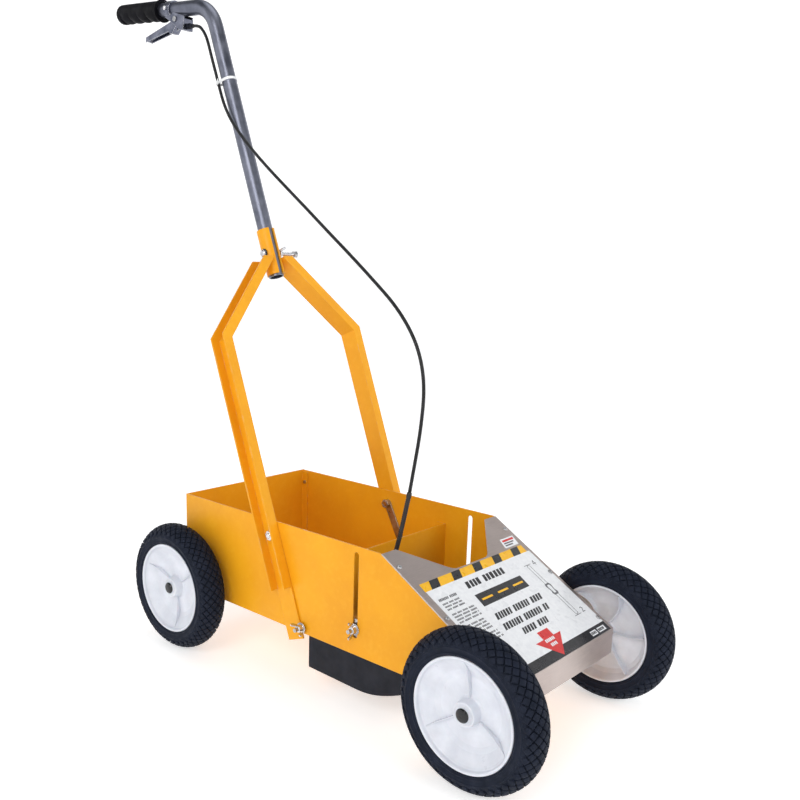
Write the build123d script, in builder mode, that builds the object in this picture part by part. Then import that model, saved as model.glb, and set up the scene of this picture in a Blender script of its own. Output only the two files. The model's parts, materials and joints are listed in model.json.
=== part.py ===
from build123d import *
import math
import os

os.makedirs("parts", exist_ok=True)

# Line striping machine: a four-wheeled sheet-steel box with a fold-forward push handle, a
# brake-type trigger lever, a control cable and a sliding holder for an inverted paint can.
# Millimetres. +Z up, the machine's front faces -Y, the grip points to +Y, X is across.
# The origin is on the ground, under the middle of the machine's outline.

# ---- driving sizes ---------------------------------------------------------------------------
wheel_radius = 101.6          # 8 inch wheels
tyre_width = 46.5
tyre_bore = 71.5
wheel_gap = 12.5              # side panel to tyre
axle_radius = 6.0

box_width = 264.0             # over the outer faces of the side panels
box_length = 629.7
box_height = 156.5
axle_above_bottom = 15.1
front_overhang = 27.5         # front lip ahead of the front axle
rear_overhang = 25.2          # rear panel behind the rear axle
slope_run = 205.2             # sloped plate, measured along Y
lip_height = 37.0             # front lip below the bend
sheet = 2.0                   # steel sheet
plate_sheet = 1.5             # aluminium plate
divider_from_rear = 331.9
divider_drop = 31.5           # divider top below the box top
flange = 14.0                 # inward folded flanges

slot_ahead_of_divider = 47.9
slot_width = 8.5
slot_bottom = 24.5            # above the box bottom
slot_top = 8.6                # below the box top
slide_rest = 37.5             # wing bolt above the box bottom

tilt = 20.6                   # handle leans back
pivot_behind_divider = 120.9  # leg pivot
pivot_drop = 22.0             # below the box top
leg_width = 32.0
leg_flange = 16.0
leg_sheet = 2.5
leg_bend = 299.0              # along the handle from the pivot
leg_cross = 44.0              # angle of the upper leg run to the handle's axis
strap_below_meet = 22.68      # sleeve's lower end below the point where a leg meets the tube
strap_length = 75.0
tab_end = -157.0
flange_end = -80.0
lock_along = -141.0
lock_across = -18.0
clamp_above_strap = 36.0      # clamp bolt above the sleeve's lower end

tube_radius = 12.0
tube_wall = 2.0
tube_below_strap = 3.0
tube_corner = 859.5
tube_bend_radius = 60.0
grip_rise = 6.0
grip_start = 132.6            # from the tube's corner, along the grip
grip_length = 127.0
grip_radius = 16.5
grip_nose = 8.5               # rounding of the grip's free end
lever_s = 84.0                # lever pivot, from the corner
lever_drop = 5.0              # lever pivot below the tube

# ---- fits ------------------------------------------------------------------------------------
run_fit = 0.05                # radial gap on everything that turns
side_gap = 0.4                # between the faces of moving pieces
can_gap = 0.5                 # radial gap round the can

# ---- positions worked out from them ----------------------------------------------------------
sin_t = math.sin(math.radians(tilt))
cos_t = math.cos(math.radians(tilt))
sin_g = math.sin(math.radians(grip_rise))
cos_g = math.cos(math.radians(grip_rise))
wheelbase = box_length - front_overhang - rear_overhang
track_width = box_width + 2 * (wheel_gap + tyre_width)
pivot_from_axle = box_length - front_overhang - divider_from_rear + pivot_behind_divider
lever_n = -tube_radius - lever_drop
grip_reach = (grip_start + grip_length) * cos_g + (grip_radius - grip_nose) * sin_g
rear_reach = pivot_from_axle + tube_corner * sin_t + grip_reach
total_length = wheel_radius + rear_reach

y_front_axle = wheel_radius - total_length / 2
y_rear_axle = y_front_axle + wheelbase
y_bend = y_front_axle - front_overhang
y_slope = y_bend + slope_run
y_rear = y_bend + box_length
y_divider = y_rear - divider_from_rear
y_slot = y_divider - slot_ahead_of_divider
y_pivot = y_front_axle + pivot_from_axle

z_axle = wheel_radius
z_bottom = z_axle - axle_above_bottom
z_top = z_bottom + box_height
z_bend = z_bottom + lip_height
z_pivot = z_top - pivot_drop
z_slide = z_bottom + slide_rest

x_out = box_width / 2
x_in = x_out - sheet
slope_drop = z_top - z_bend
slope_length = math.hypot(slope_run, slope_drop)
sin_a = slope_drop / slope_length
cos_a = slope_run / slope_length

web_face = x_out + side_gap
cross_tan = math.tan(math.radians(leg_cross))
half_tan = math.tan(math.radians(leg_cross / 2))
web_meet = leg_bend + (web_face - tube_radius) / cross_tan
strap_start = web_meet - strap_below_meet
strap_out = tube_radius + leg_sheet
clamp_along = strap_start + clamp_above_strap
tube_start = strap_start - tube_below_strap

handle_axis = (0, sin_t, cos_t)
handle_back = (0, cos_t, -sin_t)


def handle_point(across, along, back):
    """A point given across the machine, along the handle from its pivot, and behind it."""
    y = y_pivot + along * sin_t + back * cos_t
    z = z_pivot + along * cos_t - back * sin_t
    return (across, y, z)


def handle_front_plane(back):
    """Sketch plane across the handle: x across, y along the handle's axis."""
    normal = (0, -cos_t, sin_t)
    return Plane(origin=handle_point(0, 0, back), x_dir=(1, 0, 0), z_dir=normal)


def handle_cross_plane(along):
    """Sketch plane square to the handle's axis: x across, y towards its back."""
    return Plane(origin=handle_point(0, along, 0), x_dir=(1, 0, 0), z_dir=handle_axis)


def grip_point(across, s, n):
    """A point given across, along the grip from the tube's corner, and above its axis."""
    corner = handle_point(0, tube_corner, 0)
    y = corner[1] + s * cos_g - n * sin_g
    z = corner[2] + s * sin_g + n * cos_g
    return (across, y, z)


def grip_side_plane(across):
    """Sketch plane along the grip, seen from the side: x along it, y above it."""
    origin = grip_point(across, 0, 0)
    return Plane(origin=origin, x_dir=(0, cos_g, sin_g), z_dir=(1, 0, 0))


def grip_cross_plane(s):
    """Sketch plane square to the grip: normal along it."""
    return Plane(origin=grip_point(0, s, 0), x_dir=(1, 0, 0), z_dir=(0, cos_g, sin_g))


def side_plane(x):
    """Sketch plane parallel to the side panels: x is Y, y is Z, normal +X."""
    return Plane(origin=(x, 0, 0), x_dir=(0, 1, 0), z_dir=(1, 0, 0))


def plan(z):
    """Level sketch plane at a height."""
    return Plane(origin=(0, 0, z), x_dir=(1, 0, 0), z_dir=(0, 0, 1))


def save(piece, name):
    """Label a finished piece and write it."""
    piece.part.label = name
    export_step(piece.part, "parts/" + name + ".step")


sides = (("right", -1), ("left", 1))

# ---- side panels -----------------------------------------------------------------------------
# The sloped edge lies under the aluminium plate and carries an inward flange for its screws.
inner_y = y_slope + plate_sheet / sin_a
low_y = y_bend + plate_sheet
low_z = z_bend - plate_sheet * cos_a + plate_sheet * (1 - sin_a) * sin_a / cos_a
flange_top_y = y_slope + plate_sheet * sin_a
flange_top_z = z_top - plate_sheet * cos_a
slot_mid = (z_bottom + slot_bottom + z_top - slot_top) / 2
slot_length = box_height - slot_bottom - slot_top
lock_point = handle_point(0, lock_along, lock_across)

for side, sx in sides:
    with BuildPart() as side_panel:
        with BuildSketch(side_plane(sx * x_out)):
            with BuildLine():
                Polyline(
                    (low_y, z_bottom),
                    (low_y, low_z),
                    (inner_y, z_top),
                    (y_rear, z_top),
                    (y_rear, z_bottom),
                    close=True,
                )
            make_face()
            with Locations((y_slot, slot_mid)):
                SlotOverall(slot_length, slot_width, rotation=90, mode=Mode.SUBTRACT)
            with Locations((y_pivot, z_pivot)):
                Circle(4.0, mode=Mode.SUBTRACT)
            with Locations((lock_point[1], lock_point[2])):
                Circle(3.0, mode=Mode.SUBTRACT)
            with Locations((y_front_axle, z_axle), (y_rear_axle, z_axle)):
                Circle(axle_radius, mode=Mode.SUBTRACT)
        extrude(amount=-sx * sheet)
        with BuildSketch(side_plane(sx * x_in)):
            with BuildLine():
                Polyline(
                    (low_y + 4, low_z + 4 * sin_a / cos_a),
                    (flange_top_y - 2, flange_top_z - 2 * sin_a / cos_a),
                    (flange_top_y - 2 + sheet * sin_a, flange_top_z - 2 * sin_a / cos_a - sheet * cos_a),
                    (low_y + 4 + sheet * sin_a, low_z + 4 * sin_a / cos_a - sheet * cos_a),
                    close=True,
                )
            make_face()
        extrude(amount=-sx * flange)
    save(side_panel, side + "_side_panel")

# ---- rear panel, floor, divider, front pan ---------------------------------------------------
with BuildPart() as rear_panel:
    with BuildSketch(plan(z_bottom)):
        with Locations((0, y_rear - sheet / 2)):
            Rectangle(2 * x_in, sheet)
    extrude(amount=box_height)
    with BuildSketch(plan(z_bottom + sheet)):
        with Locations(
            (x_in - sheet / 2, y_rear - sheet - flange / 2),
            (-x_in + sheet / 2, y_rear - sheet - flange / 2),
        ):
            Rectangle(sheet, flange)
    extrude(amount=box_height - sheet - 3)
save(rear_panel, "rear_panel")

with BuildPart() as floor_panel:
    floor_length = y_rear - sheet - (y_divider + sheet / 2)
    with BuildSketch(plan(z_bottom)):
        with Locations((0, y_rear - sheet - floor_length / 2)):
            Rectangle(2 * x_in, floor_length)
    extrude(amount=sheet)
save(floor_panel, "floor_panel")

with BuildPart() as divider:
    with BuildSketch(plan(z_bottom)):
        with Locations((0, y_divider)):
            Rectangle(2 * x_in, sheet)
    extrude(amount=box_height - divider_drop)
    with BuildSketch(plan(z_bottom + sheet)):
        with Locations(
            (x_in - sheet / 2, y_divider + sheet / 2 + flange / 2),
            (-x_in + sheet / 2, y_divider + sheet / 2 + flange / 2),
        ):
            Rectangle(sheet, flange)
    extrude(amount=box_height - divider_drop - sheet)
save(divider, "divider")

pan_end = y_slope - 60
with BuildPart() as front_pan:
    with BuildSketch(plan(z_bottom)):
        with Locations((0, (low_y + pan_end) / 2)):
            Rectangle(2 * x_in, pan_end - low_y)
    extrude(amount=sheet)
save(front_pan, "front_pan")

# ---- sloped aluminium plate with its folded lip ----------------------------------------------
screw_spots = (27.5, 121.0, 214.0)
screw_x = x_out - 8
cut_half = x_out - 28         # cut-out for the can, at the plate's top edge
cut_floor = 40.0              # and at its lowest edge
slope_plane = Plane(origin=(0, y_slope, z_top), x_dir=(1, 0, 0), z_dir=(0, -sin_a, cos_a))

with BuildPart() as label_plate:
    with BuildSketch(side_plane(-x_out)):
        with BuildLine():
            Polyline(
                (y_slope, z_top),
                (y_bend, z_bend),
                (y_bend, z_bottom),
                (low_y, z_bottom),
                (low_y, low_z),
                (flange_top_y, flange_top_z),
                close=True,
            )
        make_face()
    extrude(amount=box_width)
    with BuildSketch(slope_plane.offset(5)) as cut_out:
        with BuildLine():
            Polyline(
                (-cut_half, 5),
                (-cut_half, 0),
                (-cut_floor, -60),
                (cut_floor, -60),
                (cut_half, 0),
                (cut_half, 5),
                close=True,
            )
        make_face()
        low_corners = cut_out.vertices().sort_by(Axis.Y)[0:2]
        fillet(low_corners, radius=24)
    extrude(amount=-10, mode=Mode.SUBTRACT)
    with BuildSketch(slope_plane.offset(5)):
        for s in screw_spots:
            with Locations((screw_x, -s), (-screw_x, -s)):
                Circle(2.0)
    extrude(amount=-10, mode=Mode.SUBTRACT)
save(label_plate, "label_plate")

with BuildPart() as plate_screws:
    for s in screw_spots:
        with Locations(slope_plane):
            with Locations((screw_x, -s, 0), (-screw_x, -s, 0)):
                Cylinder(3.6, 1.8, align=(Align.CENTER, Align.CENTER, Align.MIN))
                with Locations((0, 0, -plate_sheet)):
                    Cylinder(2.0, plate_sheet, align=(Align.CENTER, Align.CENTER, Align.MIN))
save(plate_screws, "plate_screws")

# ---- rivets in the rear corners and the divider ----------------------------------------------
with BuildPart() as panel_rivets:
    for sx in (-1, 1):
        for ry, rz in (
            (y_rear - sheet - flange / 2, z_bottom + 24),
            (y_rear - sheet - flange / 2, z_top - 22),
            (y_divider + sheet / 2 + flange / 2, z_bottom + 24),
            (y_divider + sheet / 2 + flange / 2, z_top - divider_drop - 20),
        ):
            head = Plane(origin=(sx * (x_in - sheet), ry, rz), x_dir=(0, 1, 0), z_dir=(-sx, 0, 0))
            with BuildSketch(head):
                Circle(3.2)
            extrude(amount=1.6)
save(panel_rivets, "panel_rivets")

# ---- black spray shroud under the can --------------------------------------------------------
shroud_rear = y_divider + 43.7
shroud_front = pan_end
shroud_sheet = 2.5
shroud_low = z_bottom - 51.5

for side, sx in sides:
    with BuildPart() as shroud_side:
        with BuildSketch(side_plane(sx * x_in)):
            with BuildLine():
                Polyline(
                    (shroud_front, z_bottom - 18),
                    (shroud_front, z_bottom + 8),
                    (y_divider - 2, z_bottom + 8),
                    (y_divider - 2, z_bottom),
                    (shroud_rear, z_bottom),
                    (shroud_rear, shroud_low + 2),
                )
                Line((shroud_rear, shroud_low + 2), (shroud_front + 100, shroud_low))
                Spline(
                    (shroud_front + 100, shroud_low),
                    (shroud_front + 76, shroud_low + 2),
                    (shroud_front + 34, shroud_low + 15),
                    (shroud_front, z_bottom - 18),
                    tangents=[(-1, 0.02), (-0.8, 0.6)],
                )
            make_face()
        extrude(amount=-sx * shroud_sheet)
    save(shroud_side, side + "_shroud_side")

with BuildPart() as shroud_back:
    with BuildSketch(plan(shroud_low + 2)):
        with Locations((0, shroud_rear - shroud_sheet / 2)):
            Rectangle(2 * (x_in - shroud_sheet), shroud_sheet)
    extrude(amount=z_bottom - shroud_low - 2)
save(shroud_back, "shroud_back")

# ---- axles, spacers and end caps -------------------------------------------------------------
x_wheel_out = track_width / 2
x_tyre_in = x_wheel_out - tyre_width
boss_in = x_tyre_in + 1.5
boss_out = x_wheel_out - 5.0
axle_half = x_wheel_out - 3.0

for name, y_axle in (("front_axle", y_front_axle), ("rear_axle", y_rear_axle)):
    with BuildPart() as axle:
        with BuildSketch(Plane(origin=(-axle_half, y_axle, z_axle), z_dir=(1, 0, 0))):
            Circle(axle_radius)
        extrude(amount=2 * axle_half)
    save(axle, name)

with BuildPart() as axle_spacers:
    for y_axle in (y_front_axle, y_rear_axle):
        for sx in (-1, 1):
            start = Plane(origin=(sx * x_out, y_axle, z_axle), z_dir=(sx, 0, 0))
            with BuildSketch(start):
                Circle(axle_radius + 4)
                Circle(axle_radius, mode=Mode.SUBTRACT)
            extrude(amount=boss_in - x_out - side_gap)
save(axle_spacers, "axle_spacers")

with BuildPart() as axle_caps:
    for y_axle in (y_front_axle, y_rear_axle):
        for sx in (-1, 1):
            cap_start = boss_out + side_gap
            cap_plane = Plane(origin=(sx * cap_start, y_axle, z_axle), z_dir=(sx, 0, 0))
            with BuildSketch(cap_plane):
                Circle(axle_radius + 3)
                Circle(axle_radius, mode=Mode.SUBTRACT)
            extrude(amount=axle_half - cap_start)
            with BuildSketch(cap_plane.offset(axle_half - cap_start)):
                Circle(axle_radius + 3)
            extrude(amount=2.4, taper=30)
save(axle_caps, "axle_caps")

# ---- wheels ----------------------------------------------------------------------------------
rim_in = x_tyre_in + 2.5
rim_out = x_wheel_out - 2.0
web_at = x_wheel_out - 21.0
web_thick = 3.5
outer_ribs = 3
inner_ribs = 6
rib_from = axle_radius + 8
rib_to = tyre_bore - 7.5
rib_middle = (rib_from + rib_to) / 2

for end, y_axle in (("front", y_front_axle), ("rear", y_rear_axle)):
    for side, sx in sides:
        with BuildPart() as hub:
            with BuildSketch(Plane(origin=(0, y_axle, z_axle), x_dir=(sx, 0, 0), z_dir=(0, -sx, 0))):
                with BuildLine():
                    Polyline(
                        (boss_in, axle_radius + run_fit),
                        (boss_out, axle_radius + run_fit),
                        (boss_out, axle_radius + 9),
                        (web_at, axle_radius + 10.5),
                        (web_at, tyre_bore - 9.5),
                        (rim_out - 6, tyre_bore - 6.5),
                        (rim_out - 6, tyre_bore - 3.5),
                        (rim_out, tyre_bore - 3),
                        (rim_out, tyre_bore),
                        (rim_in, tyre_bore),
                        (rim_in, tyre_bore - 4),
                        (web_at - web_thick, tyre_bore - 8.5),
                        (web_at - web_thick, axle_radius + 9),
                        (boss_in, axle_radius + 8),
                        close=True,
                    )
                make_face()
            revolve(axis=Axis((0, y_axle, z_axle), (1, 0, 0)))
            outer = Plane(origin=(sx * web_at, y_axle, z_axle), x_dir=(0, 1, 0), z_dir=(sx, 0, 0))
            with BuildSketch(outer):
                with PolarLocations(rib_middle, outer_ribs):
                    Rectangle(rib_to - rib_from, 2.4)
            extrude(amount=5)
            inner_at = sx * (web_at - web_thick)
            inner = Plane(origin=(inner_at, y_axle, z_axle), x_dir=(0, 1, 0), z_dir=(-sx, 0, 0))
            with BuildSketch(inner):
                with PolarLocations(rib_middle, inner_ribs):
                    Rectangle(rib_to - rib_from + 1, 3)
            extrude(amount=12)
        save(hub, end + "_" + side + "_hub")

        with BuildPart() as tyre:
            shoulder = wheel_radius - 11
            with BuildSketch(Plane(origin=(0, y_axle, z_axle), x_dir=(sx, 0, 0), z_dir=(0, -sx, 0))):
                with BuildLine():
                    Polyline(
                        (x_tyre_in + 2, shoulder),
                        (x_tyre_in, shoulder - 8),
                        (x_tyre_in + 1.5, tyre_bore),
                        (x_wheel_out - 1.5, tyre_bore),
                        (x_wheel_out, shoulder - 8),
                        (x_wheel_out - 2, shoulder),
                    )
                    ThreePointArc(
                        (x_wheel_out - 2, shoulder),
                        (x_wheel_out - tyre_width / 2, wheel_radius),
                        (x_tyre_in + 2, shoulder),
                    )
                make_face()
            revolve(axis=Axis((0, y_axle, z_axle), (1, 0, 0)))
        save(tyre, end + "_" + side + "_tyre")

# ---- handle legs -----------------------------------------------------------------------------
# A channel with its flanges outwards, bent in above the box; the top of the web is a half sleeve.
def leg_line(offset):
    """Bent line of the leg, moved outwards by an offset: end, bend and top points."""
    bend_point = (web_face + offset, leg_bend + offset * half_tan)
    rise = (bend_point[0] - tube_radius) / cross_tan
    return bend_point, (tube_radius, bend_point[1] + rise)


def leg_outline(sx, start, inner_offset, outer_offset):
    """Closed outline between two offsets of the leg's line."""
    bend_a, top_a = leg_line(inner_offset)
    bend_b, top_b = leg_line(outer_offset)
    return [
        (sx * (web_face + inner_offset), start),
        (sx * bend_a[0], bend_a[1]),
        (sx * top_a[0], top_a[1]),
        (sx * top_b[0], top_b[1]),
        (sx * bend_b[0], bend_b[1]),
        (sx * (web_face + outer_offset), start),
    ]


flange_top = clamp_along - 9

for side, sx in sides:
    with BuildPart() as leg:
        with BuildSketch(handle_front_plane(leg_width / 2)):
            with BuildLine():
                Polyline(*leg_outline(sx, tab_end, 0, leg_sheet), close=True)
            make_face()
        extrude(amount=leg_width)
        with BuildSketch(handle_front_plane(leg_width / 2)):
            with BuildLine():
                Polyline(*leg_outline(sx, flange_end, leg_sheet / 2, leg_flange), close=True)
            make_face()
        extrude(amount=leg_sheet)
        with BuildSketch(handle_front_plane(-leg_width / 2 + leg_sheet)):
            with BuildLine():
                Polyline(*leg_outline(sx, flange_end, leg_sheet / 2, leg_flange), close=True)
            make_face()
        extrude(amount=leg_sheet)
        with BuildSketch(handle_cross_plane(flange_top)):
            Rectangle(500, 80)
        extrude(amount=200, mode=Mode.SUBTRACT)
        with BuildSketch(handle_cross_plane(strap_start)):
            Circle(strap_out)
            with Locations((-sx * 25 + sx * 4.5, 0)):
                Rectangle(50, 60, mode=Mode.SUBTRACT)
        extrude(amount=strap_length)
        with BuildSketch(handle_cross_plane(strap_start - 60)):
            Circle(tube_radius)
        extrude(amount=strap_length + 80, mode=Mode.SUBTRACT)
        with BuildSketch(side_plane(sx * (x_out - 1))):
            with Locations((y_pivot, z_pivot)):
                Circle(4 + run_fit)
            with Locations((lock_point[1], lock_point[2])):
                Circle(3.6)
        extrude(amount=sx * 8, mode=Mode.SUBTRACT)
        with BuildSketch(side_plane(0)):
            clamp_point = handle_point(0, clamp_along, 0)
            with Locations((clamp_point[1], clamp_point[2])):
                Circle(3)
        extrude(amount=sx * 40, mode=Mode.SUBTRACT)
    save(leg, side + "_leg")

# ---- pivot bolts, nuts and backing straps ----------------------------------------------------
strap_thick = 3.0
head_at = web_face + leg_sheet + side_gap

with BuildPart() as backing_straps:
    for sx in (-1, 1):
        mid = ((y_pivot + lock_point[1]) / 2, (z_pivot + lock_point[2]) / 2)
        span = math.hypot(y_pivot - lock_point[1], z_pivot - lock_point[2])
        lean = math.degrees(math.atan2(z_pivot - lock_point[2], y_pivot - lock_point[1]))
        with BuildSketch(side_plane(sx * x_in)):
            with Locations(mid):
                SlotCenterToCenter(span, 13, rotation=lean)
            with Locations((y_pivot, z_pivot)):
                Circle(4, mode=Mode.SUBTRACT)
            with Locations((lock_point[1], lock_point[2])):
                Circle(3, mode=Mode.SUBTRACT)
        extrude(amount=-sx * strap_thick)
save(backing_straps, "backing_straps")

with BuildPart() as pivot_bolts:
    for sx in (-1, 1):
        shank_from = x_in - strap_thick - 10
        shank = Plane(origin=(sx * shank_from, y_pivot, z_pivot), x_dir=(0, 1, 0), z_dir=(sx, 0, 0))
        with BuildSketch(shank):
            Circle(4)
        extrude(amount=head_at + 2 - shank_from)
        with BuildSketch(shank.offset(head_at - shank_from)):
            RegularPolygon(6.5, 6, major_radius=False)
        extrude(amount=5)
save(pivot_bolts, "pivot_bolts")

with BuildPart() as pivot_nuts:
    for sx in (-1, 1):
        start = Plane(
            origin=(sx * (x_in - strap_thick), y_pivot, z_pivot), x_dir=(0, 1, 0), z_dir=(-sx, 0, 0)
        )
        with BuildSketch(start):
            RegularPolygon(6.5, 6, major_radius=False)
            Circle(4, mode=Mode.SUBTRACT)
        extrude(amount=6.5)
save(pivot_nuts, "pivot_nuts")


lock_seat = head_at
slide_seat = x_out + side_gap

# ---- wing bolts: the two that lock the legs and the two that hold the can carriage -----------
for name, spot_y, spot_z, head_from, shank_to in (
    ("lock_bolts", lock_point[1], lock_point[2], x_in - strap_thick, lock_seat + 14),
    ("slide_bolts", y_slot, z_slide, x_in - side_gap - leg_sheet, slide_seat + 14),
):
    with BuildPart() as wing_bolts:
        for sx in (-1, 1):
            start = Plane(origin=(sx * head_from, spot_y, spot_z), x_dir=(0, 1, 0), z_dir=(sx, 0, 0))
            with BuildSketch(start):
                Circle(3)
            extrude(amount=shank_to - head_from)
            with BuildSketch(start):
                Circle(6.5)
            extrude(amount=-3)
    save(wing_bolts, name)

# ---- clamp bolt through the sleeves and the tube ---------------------------------------------
clamp_at = handle_point(0, clamp_along, 0)
clamp_start = Plane(origin=(-strap_out, clamp_at[1], clamp_at[2]), x_dir=(0, 1, 0), z_dir=(1, 0, 0))
clamp_reach = 56.0

with BuildPart() as clamp_bolt:
    with BuildSketch(clamp_start):
        Circle(3)
    extrude(amount=strap_out + clamp_reach)
    with BuildSketch(clamp_start):
        Circle(6)
    extrude(amount=-3)
    with BuildSketch(clamp_start.offset(-3)):
        Circle(5)
    extrude(amount=-2.5, taper=20)
save(clamp_bolt, "clamp_bolt")

with BuildPart() as clamp_end_nut:
    with BuildSketch(clamp_start.offset(strap_out + clamp_reach - 7)):
        RegularPolygon(5, 6, major_radius=False)
        Circle(3, mode=Mode.SUBTRACT)
    extrude(amount=6)
save(clamp_end_nut, "clamp_end_nut")

# ---- handle tube -----------------------------------------------------------------------------
tube_low = handle_point(0, tube_start, 0)
tube_bend = handle_point(0, tube_corner, 0)
tube_tip = grip_point(0, grip_start + grip_length - 8, 0)

with BuildPart() as handle_tube:
    with BuildLine() as tube_path:
        FilletPolyline(tube_low, tube_bend, tube_tip, radius=tube_bend_radius)
    with BuildSketch(Plane(origin=tube_low, x_dir=(1, 0, 0), z_dir=handle_axis)):
        Circle(tube_radius)
        Circle(tube_radius - tube_wall, mode=Mode.SUBTRACT)
    sweep(path=tube_path.wire())
    with BuildSketch(side_plane(-20)):
        with Locations((clamp_at[1], clamp_at[2])):
            Circle(3)
    extrude(amount=40, mode=Mode.SUBTRACT)
save(handle_tube, "handle_tube")

# ---- grip ------------------------------------------------------------------------------------
with BuildPart() as grip:
    with BuildSketch(grip_side_plane(0)):
        with BuildLine():
            Polyline(
                (grip_start + grip_length - 8, 0),
                (grip_start + grip_length - 8, tube_radius),
                (grip_start, tube_radius),
                (grip_start, grip_radius + 2),
                (grip_start + 3, grip_radius + 2),
                (grip_start + 5, grip_radius),
                (grip_start + grip_length - 5, grip_radius),
            )
            ThreePointArc(
                (grip_start + grip_length - 5, grip_radius),
                (grip_start + grip_length - 1.5, grip_radius - 3.5),
                (grip_start + grip_length, grip_radius - grip_nose),
            )
            Polyline(
                (grip_start + grip_length, grip_radius - grip_nose),
                (grip_start + grip_length, 0),
                (grip_start + grip_length - 8, 0),
            )
        make_face()
    revolve(axis=Axis(grip_point(0, 0, 0), (0, cos_g, sin_g)))
    with BuildSketch(grip_side_plane(-30)):
        for i in range(4):
            with Locations((grip_start + 22 + i * 26, -grip_radius - 14.5)):
                Circle(17)
    extrude(amount=60, mode=Mode.SUBTRACT)
save(grip, "grip")

# ---- trigger: bracket, lever, pins and adjuster ----------------------------------------------
band_start = 98.0
band_length = 16.0
cheek_in = 8.0
cheek_out = 10.0
barrel_s = 60.0
barrel_n = lever_n - 11.0
nipple_s = lever_s + 14.6
nipple_n = lever_n - 18.8

with BuildPart() as lever_bracket:
    with BuildSketch(grip_cross_plane(band_start)):
        Circle(tube_radius + 2.4)
    extrude(amount=band_length)
    for sx in (-1, 1):
        with BuildSketch(grip_side_plane(sx * cheek_in)):
            with BuildLine():
                Polyline(
                    (band_start + band_length, 8 - tube_radius),
                    (band_start, 8 - tube_radius),
                    (barrel_s, lever_n + 4),
                    (barrel_s, lever_n - 18),
                    (barrel_s + 9, lever_n - 18),
                    (lever_s + 6, lever_n - 7),
                    (band_start + band_length, lever_n + 5),
                    close=True,
                )
            make_face()
        extrude(amount=sx * (cheek_out - cheek_in))
    with BuildSketch(grip_side_plane(-cheek_in)):
        with Locations((barrel_s + 3.5, barrel_n + 2)):
            Rectangle(7, 18)
    extrude(amount=2 * cheek_in)
    with BuildSketch(grip_cross_plane(barrel_s - 10)):
        Circle(tube_radius)
    extrude(amount=band_start + band_length - barrel_s + 20, mode=Mode.SUBTRACT)
    with BuildSketch(grip_cross_plane(barrel_s - 5)):
        with Locations((0, -barrel_n)):
            Circle(3.5)
    extrude(amount=15, mode=Mode.SUBTRACT)
    with BuildSketch(grip_side_plane(-12)):
        with Locations((lever_s, lever_n)):
            Circle(2.5)
    extrude(amount=24, mode=Mode.SUBTRACT)
save(lever_bracket, "lever_bracket")

# ---- wing nuts: washer, body and two raised wings --------------------------------------------
lean_25 = (0, math.sin(math.radians(25)), math.cos(math.radians(25)))
lean_60 = (0, math.sin(math.radians(-60)), math.cos(math.radians(-60)))
lock_seats = []
slide_seats = []
for sx in (-1, 1):
    lock_spot = (sx * lock_seat, lock_point[1], lock_point[2])
    lock_seats.append(Plane(origin=lock_spot, x_dir=lean_60, z_dir=(sx, 0, 0)))
    slide_spot = (sx * slide_seat, y_slot, z_slide)
    slide_seats.append(Plane(origin=slide_spot, x_dir=(0, 1, 0), z_dir=(sx, 0, 0)))
clamp_spot = (strap_out, clamp_at[1], clamp_at[2])
clamp_seats = [Plane(origin=clamp_spot, x_dir=lean_25, z_dir=(1, 0, 0))]

for name, seats in (
    ("lock_wing_nuts", lock_seats),
    ("slide_wing_nuts", slide_seats),
    ("clamp_wing_nut", clamp_seats),
):
    with BuildPart() as wing_nuts:
        for seat in seats:
            with BuildSketch(seat):
                Circle(8)
                Circle(3, mode=Mode.SUBTRACT)
            extrude(amount=1.2)
            with BuildSketch(seat.offset(1.2)):
                Circle(5.6)
                Circle(3, mode=Mode.SUBTRACT)
            extrude(amount=6)
            with BuildSketch(seat.offset(3)):
                with Locations((0, 8), (0, -8)):
                    Rectangle(2.4, 8)
            extrude(amount=9.5)
    save(wing_nuts, name)

# ---- trigger lever: a folded channel with the cable's nipple below its pivot -----------------
lever_half = 7.0
lever_sheet = 2.0
tip_s = 172.0
tip_n = lever_n - 25.0

with BuildPart() as trigger_lever:
    with BuildSketch(grip_side_plane(-lever_half)):
        with BuildLine():
            Polyline(
                (lever_s - 5, lever_n - 3),
                (lever_s - 4, lever_n + 4),
                (lever_s + 4, lever_n + 4),
                (lever_s + 12, lever_n - 2),
                (tip_s, tip_n),
                (tip_s + 1, tip_n - 8),
                (lever_s + 22, lever_n - 18),
                (nipple_s + 3, nipple_n - 3),
                (nipple_s - 4, nipple_n - 3),
                close=True,
            )
        make_face()
    extrude(amount=2 * lever_half)
    with BuildSketch(grip_side_plane(-lever_half + lever_sheet)):
        with BuildLine():
            Polyline(
                (lever_s + 13, lever_n - 4.6),
                (tip_s - 2, tip_n - 2.6),
                (tip_s + 4, tip_n - 12),
                (lever_s + 22, lever_n - 20),
                (nipple_s + 4, nipple_n + 5),
                close=True,
            )
        make_face()
    extrude(amount=2 * (lever_half - lever_sheet), mode=Mode.SUBTRACT)
    with BuildSketch(grip_side_plane(-12)):
        with Locations((lever_s, lever_n)):
            Circle(2.5 + run_fit)
    extrude(amount=24, mode=Mode.SUBTRACT)
save(trigger_lever, "trigger_lever")

with BuildPart() as lever_pin:
    with BuildSketch(grip_side_plane(-12)):
        with Locations((lever_s, lever_n)):
            Circle(2.5)
    extrude(amount=24)
    for sx in (-1, 1):
        with BuildSketch(grip_side_plane(sx * cheek_out)):
            with Locations((lever_s, lever_n)):
                Circle(4.2)
        extrude(amount=sx * 2)
save(lever_pin, "lever_pin")

with BuildPart() as band_screw:
    with BuildSketch(grip_side_plane(-tube_radius - 2.4)):
        with Locations((band_start + band_length / 2, 0)):
            Circle(3.4)
    extrude(amount=-3)
save(band_screw, "band_screw")

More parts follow.
